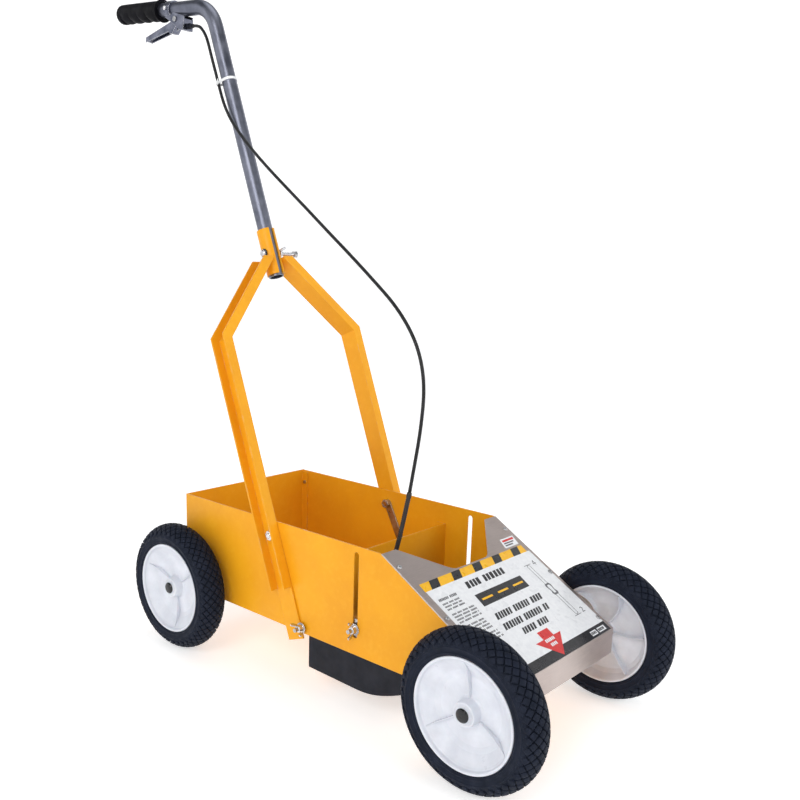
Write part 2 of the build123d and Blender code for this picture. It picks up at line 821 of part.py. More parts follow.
with BuildPart() as barrel_adjuster:
    with BuildSketch(grip_cross_plane(barrel_s - 6)):
        with Locations((0, -barrel_n)):
            Circle(4.6)
    extrude(amount=6)
    with BuildSketch(grip_cross_plane(barrel_s)):
        with Locations((0, -barrel_n)):
            Circle(3.5)
    extrude(amount=7)
    with BuildSketch(grip_cross_plane(barrel_s - 14)):
        with Locations((0, -barrel_n)):
            Circle(3.4)
    extrude(amount=8)
    with BuildSketch(grip_cross_plane(barrel_s - 20)):
        with Locations((0, -barrel_n)):
            Circle(1.2)
    extrude(amount=30, mode=Mode.SUBTRACT)
save(barrel_adjuster, "barrel_adjuster")

# ---- can carriage: cross plate with a collar for the inverted can, held by the slide bolts ---
plate_low = z_slide - 16
plate_high = plate_low + leg_sheet
ear_out = x_in - side_gap
can_radius = 33.0
collar_in = can_radius + can_gap
carriage_depth = 2 * (collar_in + 2) + 3
stop_x = -92.0

with BuildPart() as can_carriage:
    with BuildSketch(plan(plate_low)):
        with Locations((0, y_slot)):
            Rectangle(2 * ear_out, carriage_depth)
            Circle(22, mode=Mode.SUBTRACT)
        with Locations((stop_x, y_slot)):
            Circle(1.2, mode=Mode.SUBTRACT)
    extrude(amount=leg_sheet)
    with BuildSketch(plan(plate_high)):
        with Locations((0, y_slot)):
            Circle(collar_in + 2)
            Circle(collar_in, mode=Mode.SUBTRACT)
    extrude(amount=35)
    for sx in (-1, 1):
        with BuildSketch(side_plane(sx * ear_out)):
            with Locations((y_slot, z_slide - 1)):
                Rectangle(60, 30)
            with Locations((y_slot, z_slide)):
                Circle(3, mode=Mode.SUBTRACT)
        extrude(amount=-sx * leg_sheet)
save(can_carriage, "can_carriage")

# ---- valve rocker under the carriage: hinged at one end, lifted by the cable at the other ----
rocker_x = 50.0
rocker_z = z_slide - 26
lug_in = 13.0
rocker_pin_radius = 2.5

with BuildPart() as rocker_lugs:
    for sy in (-1, 1):
        lug = Plane(origin=(rocker_x, y_slot + sy * lug_in, rocker_z), x_dir=(1, 0, 0), z_dir=(0, sy, 0))
        with BuildSketch(lug):
            Circle(5.5)
            Circle(rocker_pin_radius, mode=Mode.SUBTRACT)
        extrude(amount=leg_sheet)
        with BuildSketch(plan(rocker_z + 4.6)):
            with Locations((rocker_x, y_slot + sy * (lug_in + leg_sheet / 2))):
                Rectangle(11, leg_sheet)
        extrude(amount=plate_low - rocker_z - 4.6)
save(rocker_lugs, "rocker_lugs")

with BuildPart() as rocker_pin:
    with BuildSketch(Plane(origin=(rocker_x, y_slot - 18, rocker_z), z_dir=(0, 1, 0))):
        Circle(rocker_pin_radius)
    extrude(amount=36)
save(rocker_pin, "rocker_pin")

with BuildPart() as valve_rocker:
    with BuildSketch(plan(rocker_z - 1.5)):
        with Locations(((rocker_x + stop_x - 8) / 2, y_slot)):
            Rectangle(rocker_x - stop_x + 8, 20)
        with Locations((0, y_slot)):
            Circle(13)
            Circle(8, mode=Mode.SUBTRACT)
        with Locations((stop_x, y_slot)):
            Circle(1.2, mode=Mode.SUBTRACT)
    extrude(amount=3)
    with BuildSketch(plan(rocker_z + 1.5)):
        with Locations((0, y_slot)):
            Circle(11)
            Circle(8, mode=Mode.SUBTRACT)
    extrude(amount=4)
    barrel_start = y_slot - lug_in + side_gap
    with BuildSketch(Plane(origin=(rocker_x, barrel_start, rocker_z), z_dir=(0, 1, 0))):
        Circle(5)
    extrude(amount=2 * (lug_in - side_gap))
    with BuildSketch(Plane(origin=(rocker_x, y_slot - 20, rocker_z), z_dir=(0, 1, 0))):
        Circle(rocker_pin_radius + run_fit)
    extrude(amount=40, mode=Mode.SUBTRACT)
save(valve_rocker, "valve_rocker")

# ---- cable: from the trigger's adjuster, down the tube and over to the can carriage ----------
# Each point is across, then either along and above the grip, along and behind the handle,
# or behind the slot and above the slide bolt.
cable_radius = 2.5
sleeve_radius = 4.0

by_grip = ((0, 46, -28), (0, 31, -28), (-6, 11, -36.5))
by_handle = (
    (-11, 810, 15.5),
    (-12, 780, 14.5),
    (-12, 751, 13.8),
    (-13, 724, 12.5),
    (-17.5, 688, 6.5),
    (-18.5, 650, -5),
    (-15.5, 606, -25),
    (-14, 559, -52),
    (-14, 510, -84),
    (-17, 461.5, -118),
    (-20, 412, -152),
    (-24, 364.5, -186),
    (-29, 316, -220),
)
by_slot = (
    (-35, 26, 436.6),
    (-39, -9, 400),
    (-42, -28.3, 364.6),
    (-43.4, -36, 325),
    (-45, -33, 272),
    (-51, -30, 227),
    (-58.5, -28.5, 186.4),
)
by_slot_sleeve = (
    (-58.5, -28.5, 186),
    (-69, -27.3, 145),
    (-78, -25, 108),
    (-85, -16, 72),
    (-91, -4, 34),
    (stop_x, 0, 4.4),
)

cable_points = []
for across, s, n in by_grip:
    cable_points.append(grip_point(across, s, n))
for across, along, back in by_handle:
    cable_points.append(handle_point(across, along, back))
for across, back, up in by_slot:
    cable_points.append((across, y_slot + back, z_slide + up))
sleeve_points = []
for across, back, up in by_slot_sleeve:
    sleeve_points.append((across, y_slot + back, z_slide + up))


def bend_radii(points):
    """Largest even bend at every inner point of a path of straight runs."""
    radii = []
    for i in range(1, len(points) - 1):
        before = Vector(points[i]) - Vector(points[i - 1])
        after = Vector(points[i + 1]) - Vector(points[i])
        turn = math.radians(before.get_angle(after))
        shorter = min(before.length, after.length)
        radii.append(0.45 * shorter / math.tan(turn / 2))
    return radii


for name, points, outer, bore in (
    ("control_cable", cable_points, cable_radius, 0),
    ("cable_sleeve", sleeve_points, sleeve_radius, cable_radius + 0.3),
):
    radii = bend_radii(points)
    run = (Vector(points[1]) - Vector(points[0])).normalized()
    with BuildPart() as cord:
        with BuildLine() as cord_path:
            FilletPolyline(*points, radius=radii)
        with BuildSketch(Plane(origin=points[0], z_dir=run)):
            Circle(outer)
            if bore > 0:
                Circle(bore, mode=Mode.SUBTRACT)
        sweep(path=cord_path.wire())
    save(cord, name)
    path_length = cord_path.wire().length
    section = math.pi * (outer**2 - bore**2)
    smallest = round(min(radii), 1)
    print(name, "length", round(path_length, 1), "smallest bend", smallest)
    print(name, "bends", [round(r) for r in radii])
    print(name, "volume over section times length", round(cord.part.volume / (section * path_length), 4))

# ---- cable stop on the carriage and the tie on the tube --------------------------------------
with BuildPart() as cable_stop:
    with BuildSketch(plan(plate_high)):
        with Locations((stop_x, y_slot)):
            RegularPolygon(6, 6, major_radius=False)
            Circle(1.2, mode=Mode.SUBTRACT)
    extrude(amount=5)
    with BuildSketch(plan(plate_high + 5)):
        with Locations((stop_x, y_slot)):
            Circle(4.6)
            Circle(1.2, mode=Mode.SUBTRACT)
    extrude(amount=z_slide + 3 - plate_high - 5)
save(cable_stop, "cable_stop")

tie_along = 728.0
tie_cable = (-12.9, 12.7)
with BuildPart() as zip_tie:
    with BuildSketch(handle_cross_plane(tie_along)):
        Circle(tube_radius + 1.3)
        with Locations(tie_cable):
            Circle(cable_radius + 1.6)
        make_hull()
    extrude(amount=4)
    with BuildSketch(handle_cross_plane(tie_along)):
        Circle(tube_radius + 0.05)
        with Locations(tie_cable):
            Circle(cable_radius + 0.4)
        make_hull()
    extrude(amount=4, mode=Mode.SUBTRACT)
save(zip_tie, "zip_tie")
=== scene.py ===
"""Line striping machine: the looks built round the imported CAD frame, in metres."""
import json
import math
import random

import bpy
from mathutils import Matrix, Vector


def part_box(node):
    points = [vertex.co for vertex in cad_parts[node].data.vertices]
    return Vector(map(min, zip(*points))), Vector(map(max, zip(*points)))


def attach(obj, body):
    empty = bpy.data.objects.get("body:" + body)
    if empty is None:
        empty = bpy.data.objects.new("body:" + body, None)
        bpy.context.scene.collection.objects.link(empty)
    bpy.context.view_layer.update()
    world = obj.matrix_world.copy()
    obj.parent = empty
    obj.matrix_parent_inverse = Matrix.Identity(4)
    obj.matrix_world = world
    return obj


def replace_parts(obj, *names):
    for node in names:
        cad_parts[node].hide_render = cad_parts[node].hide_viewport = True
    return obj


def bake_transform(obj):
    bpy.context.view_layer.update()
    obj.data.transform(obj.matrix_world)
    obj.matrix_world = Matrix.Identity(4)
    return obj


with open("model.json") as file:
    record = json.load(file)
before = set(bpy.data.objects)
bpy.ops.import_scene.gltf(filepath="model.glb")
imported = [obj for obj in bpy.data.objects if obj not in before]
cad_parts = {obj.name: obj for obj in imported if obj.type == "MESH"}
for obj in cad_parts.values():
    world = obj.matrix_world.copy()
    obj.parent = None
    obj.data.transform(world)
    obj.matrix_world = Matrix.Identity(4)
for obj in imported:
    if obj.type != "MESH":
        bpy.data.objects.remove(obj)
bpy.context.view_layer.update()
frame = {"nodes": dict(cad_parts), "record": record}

MM = 0.001
draw = random.Random(7)
TAU = 2 * math.pi


# ---- places, worked out from the frame ------------------------------------------------
def middle(node):
    """Middle of a CAD node's box."""
    low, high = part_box(node)
    return (low + high) / 2


wheel_radius = 101.6 * MM
tyre_width = 46.5 * MM
tyre_bore = 71.5 * MM
lip_height = 37 * MM
slope_run = 205.2 * MM
tilt = math.radians(20.6)
grip_rise = math.radians(6)
tube_radius = 12 * MM
tube_corner = 859.5 * MM
grip_start = 132.6 * MM
grip_length = 127 * MM
grip_radius = 16.5 * MM

plate_low, plate_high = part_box("label_plate")
z_bottom = plate_low.z
z_top = plate_high.z
y_bend = plate_low.y
z_bend = z_bottom + lip_height
y_slope = y_bend + slope_run
x_side = plate_high.x
pivot = middle("pivot_bolts")
slide_spot = middle("slide_bolts")
clamp_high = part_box("clamp_bolt")[1]


def handle_point(across, along, back):
    """A point across the machine, along the handle from its pivot, and behind it."""
    y = pivot.y + along * math.sin(tilt) + back * math.cos(tilt)
    z = pivot.z + along * math.cos(tilt) - back * math.sin(tilt)
    return Vector((across, y, z))


def grip_point(across, s, n):
    """A point across, along the grip from the tube's corner, and above its axis."""
    corner = handle_point(0, tube_corner, 0)
    y = corner.y + s * math.cos(grip_rise) - n * math.sin(grip_rise)
    z = corner.z + s * math.sin(grip_rise) + n * math.cos(grip_rise)
    return Vector((across, y, z))


# ---- camera, at the photograph's viewing angle ------------------------------------------
camera_azimuth = math.radians(-47.607)
camera_height = math.radians(11.324)
camera_roll = math.radians(1.331)
camera_place = Vector((-0.96757, -0.96481, 0.61116))
back = Vector((
    math.sin(camera_azimuth) * math.cos(camera_height),
    -math.cos(camera_azimuth) * math.cos(camera_height),
    math.sin(camera_height),
))
right = Vector((math.cos(camera_azimuth), math.sin(camera_azimuth), 0))
up = back.cross(right)
rolled_right = math.cos(camera_roll) * right + math.sin(camera_roll) * up
rolled_up = math.cos(camera_roll) * up - math.sin(camera_roll) * right
camera_data = bpy.data.cameras.new("camera")
camera_data.sensor_width = 36
camera_data.lens = 39.437
camera_data.shift_x = 0.0517
camera_data.shift_y = 0.0540
camera_data.clip_start = 0.05
camera = bpy.data.objects.new("camera", camera_data)
camera.matrix_world = Matrix((
    (rolled_right.x, rolled_up.x, back.x, camera_place.x),
    (rolled_right.y, rolled_up.y, back.y, camera_place.y),
    (rolled_right.z, rolled_up.z, back.z, camera_place.z),
    (0, 0, 0, 1),
))
bpy.context.scene.collection.objects.link(camera)
bpy.context.scene.camera = camera


# ---- meshes ---------------------------------------------------------------------------
def in_mm(points):
    """The same pairs turned from millimetres into metres."""
    return [(a * MM, b * MM) for a, b in points]


def oblong(half_x, half_y):
    """Outline of a rectangle, from its half sizes in millimetres."""
    return in_mm([(-half_x, -half_y), (half_x, -half_y), (half_x, half_y), (-half_x, half_y)])


def hexagon(radius):
    return [(radius * math.cos(TAU * i / 6), radius * math.sin(TAU * i / 6)) for i in range(6)]


def ring_faces(rings, around):
    """Faces that join each ring of points to the next one."""
    faces = []
    for j in range(rings - 1):
        near, far = j * around, (j + 1) * around
        for i in range(around):
            k = (i + 1) % around
            faces.append((near + i, near + k, far + k, far + i))
    return faces


def add_piece(name, verts, faces, materials, body=None, slot=None, smooth=True, kinds=None):
    """A mesh object from points and faces, smooth-shaded, riding on a body."""
    data = bpy.data.meshes.new(name)
    data.from_pydata([tuple(v) for v in verts], [], faces)
    data.validate()
    for material in materials:
        data.materials.append(material)
    if kinds:
        data.polygons.foreach_set("material_index", kinds)
    data.polygons.foreach_set("use_smooth", [smooth] * len(data.polygons))
    piece = bpy.data.objects.new(name, data)
    bpy.context.scene.collection.objects.link(piece)
    if body:
        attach(piece, body)
    return piece


class Build:
    """Collects points and faces of one piece, with a material index for each face."""

    def __init__(self):
        self.verts, self.faces, self.kinds = [], [], []

    def add(self, verts, faces, kind=0):
        start = len(self.verts)
        self.verts += [Vector(v) for v in verts]
        self.faces += [tuple(start + i for i in face) for face in faces]
        self.kinds += [kind] * len(faces)

    def lathe(self, profile, place=Matrix(), around=64, kind=0):
        """Turns (height, radius) pairs round the place's Z axis."""
        verts = []
        for height, radius in profile:
            for i in range(around):
                angle = TAU * i / around
                spot = Vector((radius * math.cos(angle), radius * math.sin(angle), height))
                verts.append(place @ spot)
        self.add(verts, ring_faces(len(profile), around), kind)

    def slab(self, outline, thickness, place=Matrix(), kind=0):
        """A flat outline in the place's XY plane, thickened along its Z axis, both ways."""
        count = len(outline)
        verts = [place @ Vector((x, y, -thickness / 2)) for x, y in outline]
        verts += [place @ Vector((x, y, thickness / 2)) for x, y in outline]
        faces = [tuple(reversed(range(count))), tuple(range(count, 2 * count))]
        for i in range(count):
            k = (i + 1) % count
            faces.append((i, k, count + k, count + i))
        self.add(verts, faces, kind)

    def piece(self, name, materials, body=None, slot=None, smooth=True):
        return add_piece(name, self.verts, self.faces, materials, body, slot, smooth, self.kinds)


sharpest_turn = 0.05
longest_reach = 0.45


def rounded(profile, radius, steps=4):
    """The same open outline with each inner corner turned into an arc."""
    points = [Vector(p) for p in profile]
    made = [points[0]]
    for before, corner, after in zip(points, points[1:], points[2:]):
        first, second = before - corner, after - corner
        turn = first.angle(second, math.pi)
        reach = min(
            radius / max(math.tan(turn / 2), sharpest_turn),
            longest_reach * first.length, longest_reach * second.length,
        )
        start, end = corner + first.normalized() * reach, corner + second.normalized() * reach
        for i in range(steps + 1):
            t = i / steps
            made.append(start.lerp(corner, t).lerp(corner.lerp(end, t), t))
    made.append(points[-1])
    return [tuple(p) for p in made]


def facing(origin, axis, side=(0, 0, 1)):
    """Matrix at the origin whose Z axis points along axis and X axis near side."""
    z = Vector(axis).normalized()
    y = z.cross(Vector(side)).normalized()
    x = y.cross(z)
    turn = Matrix((x, y, z)).transposed().to_4x4()
    return Matrix.Translation(origin) @ turn


def soften(piece, width, segments=2, angle=30):
    """Small rounded edges, and shading that stays flat on flat faces."""
    bevel = piece.modifiers.new("edges", "BEVEL")
    bevel.width = width
    bevel.segments = segments
    bevel.limit_method = "ANGLE"
    bevel.angle_limit = math.radians(angle)
    bevel.harden_normals = True
    return piece


# ---- materials ------------------------------------------------------------------------
class Shader:
    """One node material: the Principled shader and the nodes that feed it."""

    def __init__(self, name, color, roughness, metallic=0.0, **settings):
        self.material = bpy.data.materials.new(name)
        self.material.use_nodes = True
        self.tree = self.material.node_tree
        self.base = self.tree.nodes["Principled BSDF"]
        self.base.inputs["Base Color"].default_value = (*color, 1)
        self.base.inputs["Roughness"].default_value = roughness
        self.base.inputs["Metallic"].default_value = metallic
        for socket, value in settings.items():
            self.base.inputs[socket.replace("_", " ")].default_value = value
        self.coordinates = self.tree.nodes.new("ShaderNodeTexCoord").outputs["Object"]

    def noise(self, scale, detail=3, stretch=(1, 1, 1), rough=0.55, lift=0.0):
        mapping = self.tree.nodes.new("ShaderNodeMapping")
        mapping.inputs["Scale"].default_value = stretch
        mapping.inputs["Location"].default_value = (lift, lift, lift)
        self.tree.links.new(self.coordinates, mapping.inputs["Vector"])
        texture = self.tree.nodes.new("ShaderNodeTexNoise")
        texture.inputs["Scale"].default_value = scale
        texture.inputs["Detail"].default_value = detail
        texture.inputs["Roughness"].default_value = rough
        self.tree.links.new(mapping.outputs["Vector"], texture.inputs["Vector"])
        return texture.outputs["Fac"]

    def remap(self, value, low, high, to_low=0.0, to_high=1.0):
        node = self.tree.nodes.new("ShaderNodeMapRange")
        ends = (("From Min", low), ("From Max", high), ("To Min", to_low), ("To Max", to_high))
        for socket, number in ends:
            node.inputs[socket].default_value = number
        self.tree.links.new(value, node.inputs["Value"])
        return node.outputs["Result"]

    def times(self, a, b):
        node = self.tree.nodes.new("ShaderNodeMath")
        node.operation = "MULTIPLY"
        self.tree.links.new(a, node.inputs[0])
        if isinstance(b, float):
            node.inputs[1].default_value = b
        else:
            self.tree.links.new(b, node.inputs[1])
        return node.outputs[0]

    def mix(self, amount, first, second):
        """A colour between two, each given as numbers or another node's output."""
        node = self.tree.nodes.new("ShaderNodeMix")
        node.data_type = "RGBA"
        self.tree.links.new(amount, node.inputs[0])
        for socket, value in ((node.inputs[6], first), (node.inputs[7], second)):
            if isinstance(value, tuple):
                socket.default_value = (*value, 1)
            else:
                self.tree.links.new(value, socket)
        return node.outputs[2]

    def edge(self, radius, low=0.0, high=0.25):
        """A rounded normal, and how near each point is to an outer edge."""
        bevel = self.tree.nodes.new("ShaderNodeBevel")
        bevel.samples = 6
        bevel.inputs["Radius"].default_value = radius
        self.rounded = bevel.outputs["Normal"]
        geometry = self.tree.nodes.new("ShaderNodeNewGeometry")
        dot = self.tree.nodes.new("ShaderNodeVectorMath")
        dot.operation = "DOT_PRODUCT"
        self.tree.links.new(self.rounded, dot.inputs[0])
        self.tree.links.new(geometry.outputs["Normal"], dot.inputs[1])
        return self.remap(dot.outputs["Value"], 1 - low, 1 - high)

    def color(self, value):
        self.tree.links.new(value, self.base.inputs["Base Color"])

    def roughness(self, value):
        self.tree.links.new(value, self.base.inputs["Roughness"])

    def bump(self, *layers):
        """Bumps laid over each other: (height, depth in metres, strength)."""
        normal = getattr(self, "rounded", None)
        for height, depth, strength in layers:
            node = self.tree.nodes.new("ShaderNodeBump")
            node.inputs["Distance"].default_value = depth
            node.inputs["Strength"].default_value = strength
            self.tree.links.new(height, node.inputs["Height"])
            if normal is not None:
                self.tree.links.new(normal, node.inputs["Normal"])
            normal = node.outputs["Normal"]
        self.tree.links.new(normal, self.base.inputs["Normal"])


def painted_steel():
    """Yellow powder coat: fine orange peel, faint mottling, edges worn to the primer."""
    s = Shader("yellow_paint", (0.80, 0.35, 0.010), 0.42, Coat_Weight=0.05, Coat_Roughness=0.25,
               Specular_IOR_Level=0.2)
    worn = s.times(s.edge(1.2 * MM, 0.02, 0.2), s.remap(s.noise(60, 5), 0.5, 0.68))
    mottled = s.mix(s.remap(s.noise(9, 4), 0.35, 0.7), (0.84, 0.375, 0.010), (0.76, 0.315, 0.010))
    dusty = s.mix(s.remap(s.noise(140, 4), 0.5, 0.8, 0, 0.25), mottled, (0.90, 0.48, 0.04))
    s.color(s.mix(worn, dusty, (0.62, 0.50, 0.33)))
    s.roughness(s.remap(s.noise(45, 4), 0.3, 0.75, 0.30, 0.50))
    s.bump((s.noise(700, 2), 0.12 * MM, 0.35), (s.noise(28, 2), 0.5 * MM, 0.12))
    return s.material


def brushed_plate():
    """Aluminium sheet with a fine grain across it, fingerprints, small scratches and painted highlights
    along its edges.
    """
    s = Shader("aluminium", (0.48, 0.40, 0.37), 0.36, 0.85)
    # Painted highlight: lighter colour in patches along the edges.
    painted_edge_highlight = s.times(s.edge(0.8 * MM, 0.01, 0.15), s.remap(s.noise(120, 3), 0.3, 0.6))
    grain = s.noise(55, 5, (1.2, 30, 30), 0.7)
    blotch = s.noise(14, 4)
    tone = s.mix(s.remap(grain, 0.3, 0.7), (0.40, 0.335, 0.315), (0.56, 0.475, 0.44))
    tone = s.mix(s.remap(blotch, 0.35, 0.75, 0, 0.5), tone, (0.64, 0.56, 0.53))
    s.color(s.mix(painted_edge_highlight, tone, (0.85, 0.83, 0.82)))
    s.roughness(s.remap(grain, 0.3, 0.7, 0.28, 0.46))
    s.bump((grain, 0.05 * MM, 0.4), (s.noise(900, 2), 0.03 * MM, 0.3))
    return s.material


def plated(name, dark, light, roughness):
    """Zinc or nickel plate: painted highlights on its edges, cloudy, faintly pitted."""
    s = Shader(name, light, roughness, 1.0)
    # Painted highlight: lighter colour in patches along the edges.
    painted_edge_highlight = s.times(s.edge(0.7 * MM, 0.01, 0.2), s.remap(s.noise(300, 2), 0.2, 0.5))
    tone = s.mix(s.remap(s.noise(70, 3), 0.35, 0.68), dark, light)
    s.color(s.mix(painted_edge_highlight, tone, (0.88, 0.88, 0.90)))
    s.roughness(s.remap(s.noise(110, 3), 0.3, 0.7, roughness * 0.8, roughness * 1.3))
    s.bump((s.noise(420, 2), 0.02 * MM, 0.2))
    return s.material


def tube_plate():
    """Plated tube: long faint draw lines in its bump, painted highlight stripes along it in its colour,
    grey-blue with duller clouds.
    """
    s = Shader("tube_steel", (0.24, 0.26, 0.32), 0.28, 1.0)
    lines = s.noise(90, 4, (1, 0.06, 0.06), 0.7)
    clouds = s.noise(35, 5, (1, 1, 1), 0.6)
    tone = s.mix(s.remap(clouds, 0.35, 0.7), (0.09, 0.10, 0.135), (0.19, 0.20, 0.25))
    # Painted highlight: the lines lighten the colour in stripes along the tube; in the bump they are
    # draw lines.
    s.color(s.mix(s.remap(lines, 0.35, 0.7, 0, 0.5), tone, (0.29, 0.30, 0.36)))
    s.roughness(s.remap(clouds, 0.3, 0.7, 0.30, 0.46))
    s.bump((lines, 0.05 * MM, 0.3), (s.noise(400, 3), 0.05 * MM, 0.25))
    return s.material


def plastic(name, dark, light, roughness, grain=600, depth=0.08, **settings):
    """Moulded plastic with a fine grain and slight colour drift."""
    s = Shader(name, light, roughness, **settings)
    s.edge(0.6 * MM)
    s.color(s.mix(s.remap(s.noise(40, 4), 0.35, 0.7), dark, light))
    s.roughness(s.remap(s.noise(90, 4), 0.3, 0.7, roughness * 0.8, roughness * 1.25))
    s.bump((s.noise(grain, 3), depth * MM, 0.4))
    return s.material


def tyre_rubber():
    """Matt blue-black rubber, painted highlights on the edges of its blocks, dust in its pores."""
    s = Shader("tyre_rubber", (0.009, 0.012, 0.024), 0.6, Specular_IOR_Level=0.12)
    # Painted highlight: paler colour in patches on the edges of the blocks.
    painted_block_edge_highlight = s.times(s.edge(0.9 * MM, 0.03, 0.3), s.remap(s.noise(150, 3), 0.45, 0.7, 0, 0.7))
    tone = s.mix(s.remap(s.noise(60, 5), 0.3, 0.7), (0.006, 0.009, 0.018), (0.012, 0.016, 0.030))
    s.color(s.mix(painted_block_edge_highlight, tone, (0.050, 0.056, 0.076)))
    s.roughness(s.remap(s.noise(110, 4), 0.3, 0.7, 0.45, 0.72))
    s.bump((s.noise(850, 3), 0.12 * MM, 0.5), (s.noise(160, 3), 0.15 * MM, 0.25))
    return s.material


def ink(name, dark, light, roughness=0.3):
    """Print on vinyl film: a slight wave in its gloss and fine colour speckle."""
    s = Shader(name, light, roughness, Coat_Weight=0.3, Coat_Roughness=0.12)
    s.color(s.mix(s.remap(s.noise(160, 4), 0.35, 0.72), light, dark))
    s.roughness(s.remap(s.noise(50, 3), 0.3, 0.7, roughness * 0.8, roughness * 1.3))
    s.bump((s.noise(24, 2), 0.25 * MM, 0.12))
    return s.material


yellow_paint = painted_steel()
aluminium = brushed_plate()
zinc = plated("zinc", (0.36, 0.36, 0.37), (0.56, 0.56, 0.57), 0.32)
bright_zinc = plated("bright_zinc", (0.50, 0.50, 0.52), (0.76, 0.76, 0.77), 0.18)
# Painted shade: zinc darkened to stand in for shade and dark reflections on the lever parts.
zinc_painted_shade = plated("zinc_painted_shade", (0.10, 0.11, 0.15), (0.22, 0.23, 0.29), 0.22)
tube_steel = tube_plate()
black_plastic = plastic("black_plastic", (0.005, 0.006, 0.011), (0.011, 0.013, 0.021), 0.46,
                        Specular_IOR_Level=0.18)
white_plastic = plastic("white_plastic", (0.60, 0.62, 0.68), (0.70, 0.72, 0.78), 0.34, 300, 0.05,
                        Subsurface_Weight=0.05, Subsurface_Scale=0.002)
nylon = plastic("nylon", (0.72, 0.73, 0.74), (0.86, 0.87, 0.87), 0.35, 400, 0.04)
tyre_black = tyre_rubber()
grip_black = plastic("grip_rubber", (0.002, 0.002, 0.003), (0.004, 0.004, 0.007), 0.55, 900, 0.12,
                     Specular_IOR_Level=0.1)
cap_black = plastic("cap_black", (0.004, 0.004, 0.005), (0.008, 0.008, 0.010), 0.14, 500, 0.02)
cable_black = plastic("cable_black", (0.005, 0.005, 0.006), (0.012, 0.012, 0.014), 0.36, 500, 0.05,
                      Specular_IOR_Level=0.3)
boot_dark = plastic("boot_dark", (0.010, 0.008, 0.008), (0.024, 0.019, 0.018), 0.42, 500, 0.04,
                    Specular_IOR_Level=0.35)
film_white = ink("film_white", (0.76, 0.77, 0.80), (0.84, 0.85, 0.87))
film_black = ink("film_black", (0.010, 0.010, 0.012), (0.026, 0.026, 0.03))
film_yellow = ink("film_yellow", (0.86, 0.42, 0.008), (0.93, 0.52, 0.012))
film_red = ink("film_red", (0.56, 0.018, 0.02), (0.68, 0.032, 0.032))
film_grey = ink("film_grey", (0.07, 0.07, 0.08), (0.13, 0.13, 0.14))

finishes = {
    "yellow_paint": yellow_paint, "aluminium": aluminium, "zinc": zinc, "tube_steel": tube_steel,
    "black_plastic": black_plastic, "white_plastic": white_plastic, "tyre_rubber": tyre_black,
    "grip_rubber": grip_black, "cable_black": cable_black, "nylon": nylon,
}
# The lever and its bracket take the zinc with painted shade.
node_finishes = {"trigger_lever": zinc_painted_shade, "lever_bracket": zinc_painted_shade, "band_screw": bright_zinc}
for part in frame["record"]["subparts"]:
    node = frame["nodes"][part["node"]]
    for holder in node.material_slots:
        holder.link = "OBJECT"
        holder.material = node_finishes.get(part["node"], finishes[part["material_slot"]])


# ---- control cable and its lower sleeve --------------------------------------------------
# The route's points: across, then along and above the grip, along and behind the handle,
# or behind the slot and above the slide bolt.
cable_radius = 2.5 * MM
by_grip = ((0, 46, -28), (0, 31, -28), (-6, 11, -36.5))
by_handle = (
    (-11, 810, 15.5), (-12, 780, 14.5), (-12, 751, 13.8), (-13, 724, 12.5), (-17.5, 688, 6.5),
    (-18.5, 650, -5), (-15.5, 606, -25), (-14, 559, -52), (-14, 510, -84), (-17, 461.5, -118),
    (-20, 412, -152), (-24, 364.5, -186), (-29, 316, -220),
)
by_slot = (
    (-35, 26, 436.6), (-39, -9, 400), (-42, -28.3, 364.6), (-43.4, -36, 325), (-45, -33, 272),
    (-51, -30, 227), (-58.5, -28.5, 186.4),
)
by_slot_sleeve = (
    (-58.5, -28.5, 186), (-69, -27.3, 145), (-78, -25, 108), (-85, -16, 72), (-91, -4, 34),
    (-92, 0, 4.4),
)


def above_slot(across, behind, height):
    """A point in millimetres: across, behind the slot and above the slide bolt at rest."""
    return Vector((across * MM, slide_spot.y + behind * MM, slide_spot.z + height * MM))


cable_route = [grip_point(x * MM, s * MM, n * MM) for x, s, n in by_grip]
cable_route += [handle_point(x * MM, a * MM, b * MM) for x, a, b in by_handle]
cable_route += [above_slot(*point) for point in by_slot]
sleeve_route = [above_slot(*point) for point in by_slot_sleeve]


def spline_points(route, resolution=12):
    """Points along the NURBS spline that has the route's points as control points."""
    curve = bpy.data.curves.new("route", "CURVE")
    curve.dimensions = "3D"
    spline = curve.splines.new("NURBS")
    spline.points.add(len(route) - 1)
    for held, point in zip(spline.points, route):
        held.co = (*point, 1)
    spline.order_u = 3
    spline.use_endpoint_u = True
    spline.resolution_u = resolution
    holder = bpy.data.objects.new("route", curve)
    line = bpy.data.meshes.new_from_object(holder)
    points = [v.co.copy() for v in line.vertices]
    bpy.data.objects.remove(holder)
    bpy.data.curves.remove(curve)
    bpy.data.meshes.remove(line)
    return points


def resample(points, step):
    """The same line with its points about one step apart."""
    made, held = [points[0].copy()], 0.0
    total = sum((b - a).length for a, b in zip(points, points[1:]))
    count = max(2, round(total / step))
    gap = total / count
    for a, b in zip(points, points[1:]):
        length = (b - a).length
        while held + length >= gap * len(made) and len(made) < count:
            made.append(a.lerp(b, (gap * len(made) - held) / length))
        held += length
    return made + [points[-1].copy()]


def tube_mesh(points, radius_at, around=16):
    """Points and faces of a closed tube along a line, its rings turned as little as can be."""
    verts = []
    side = None
    for i, point in enumerate(points):
        ahead = points[min(i + 1, len(points) - 1)]
        behind = points[max(i - 1, 0)]
        along = (ahead - behind).normalized()
        if side is None:
            side = along.orthogonal().normalized()
        side = (side - along * side.dot(along)).normalized()
        other = along.cross(side)
        for k in range(around):
            angle = TAU * k / around
            verts.append(point + (side * math.cos(angle) + other * math.sin(angle)) * radius_at(i))
    faces = ring_faces(len(points), around)
    faces.append(tuple(reversed(range(around))))
    last = (len(points) - 1) * around
    faces.append(tuple(range(last, last + around)))
    return verts, faces


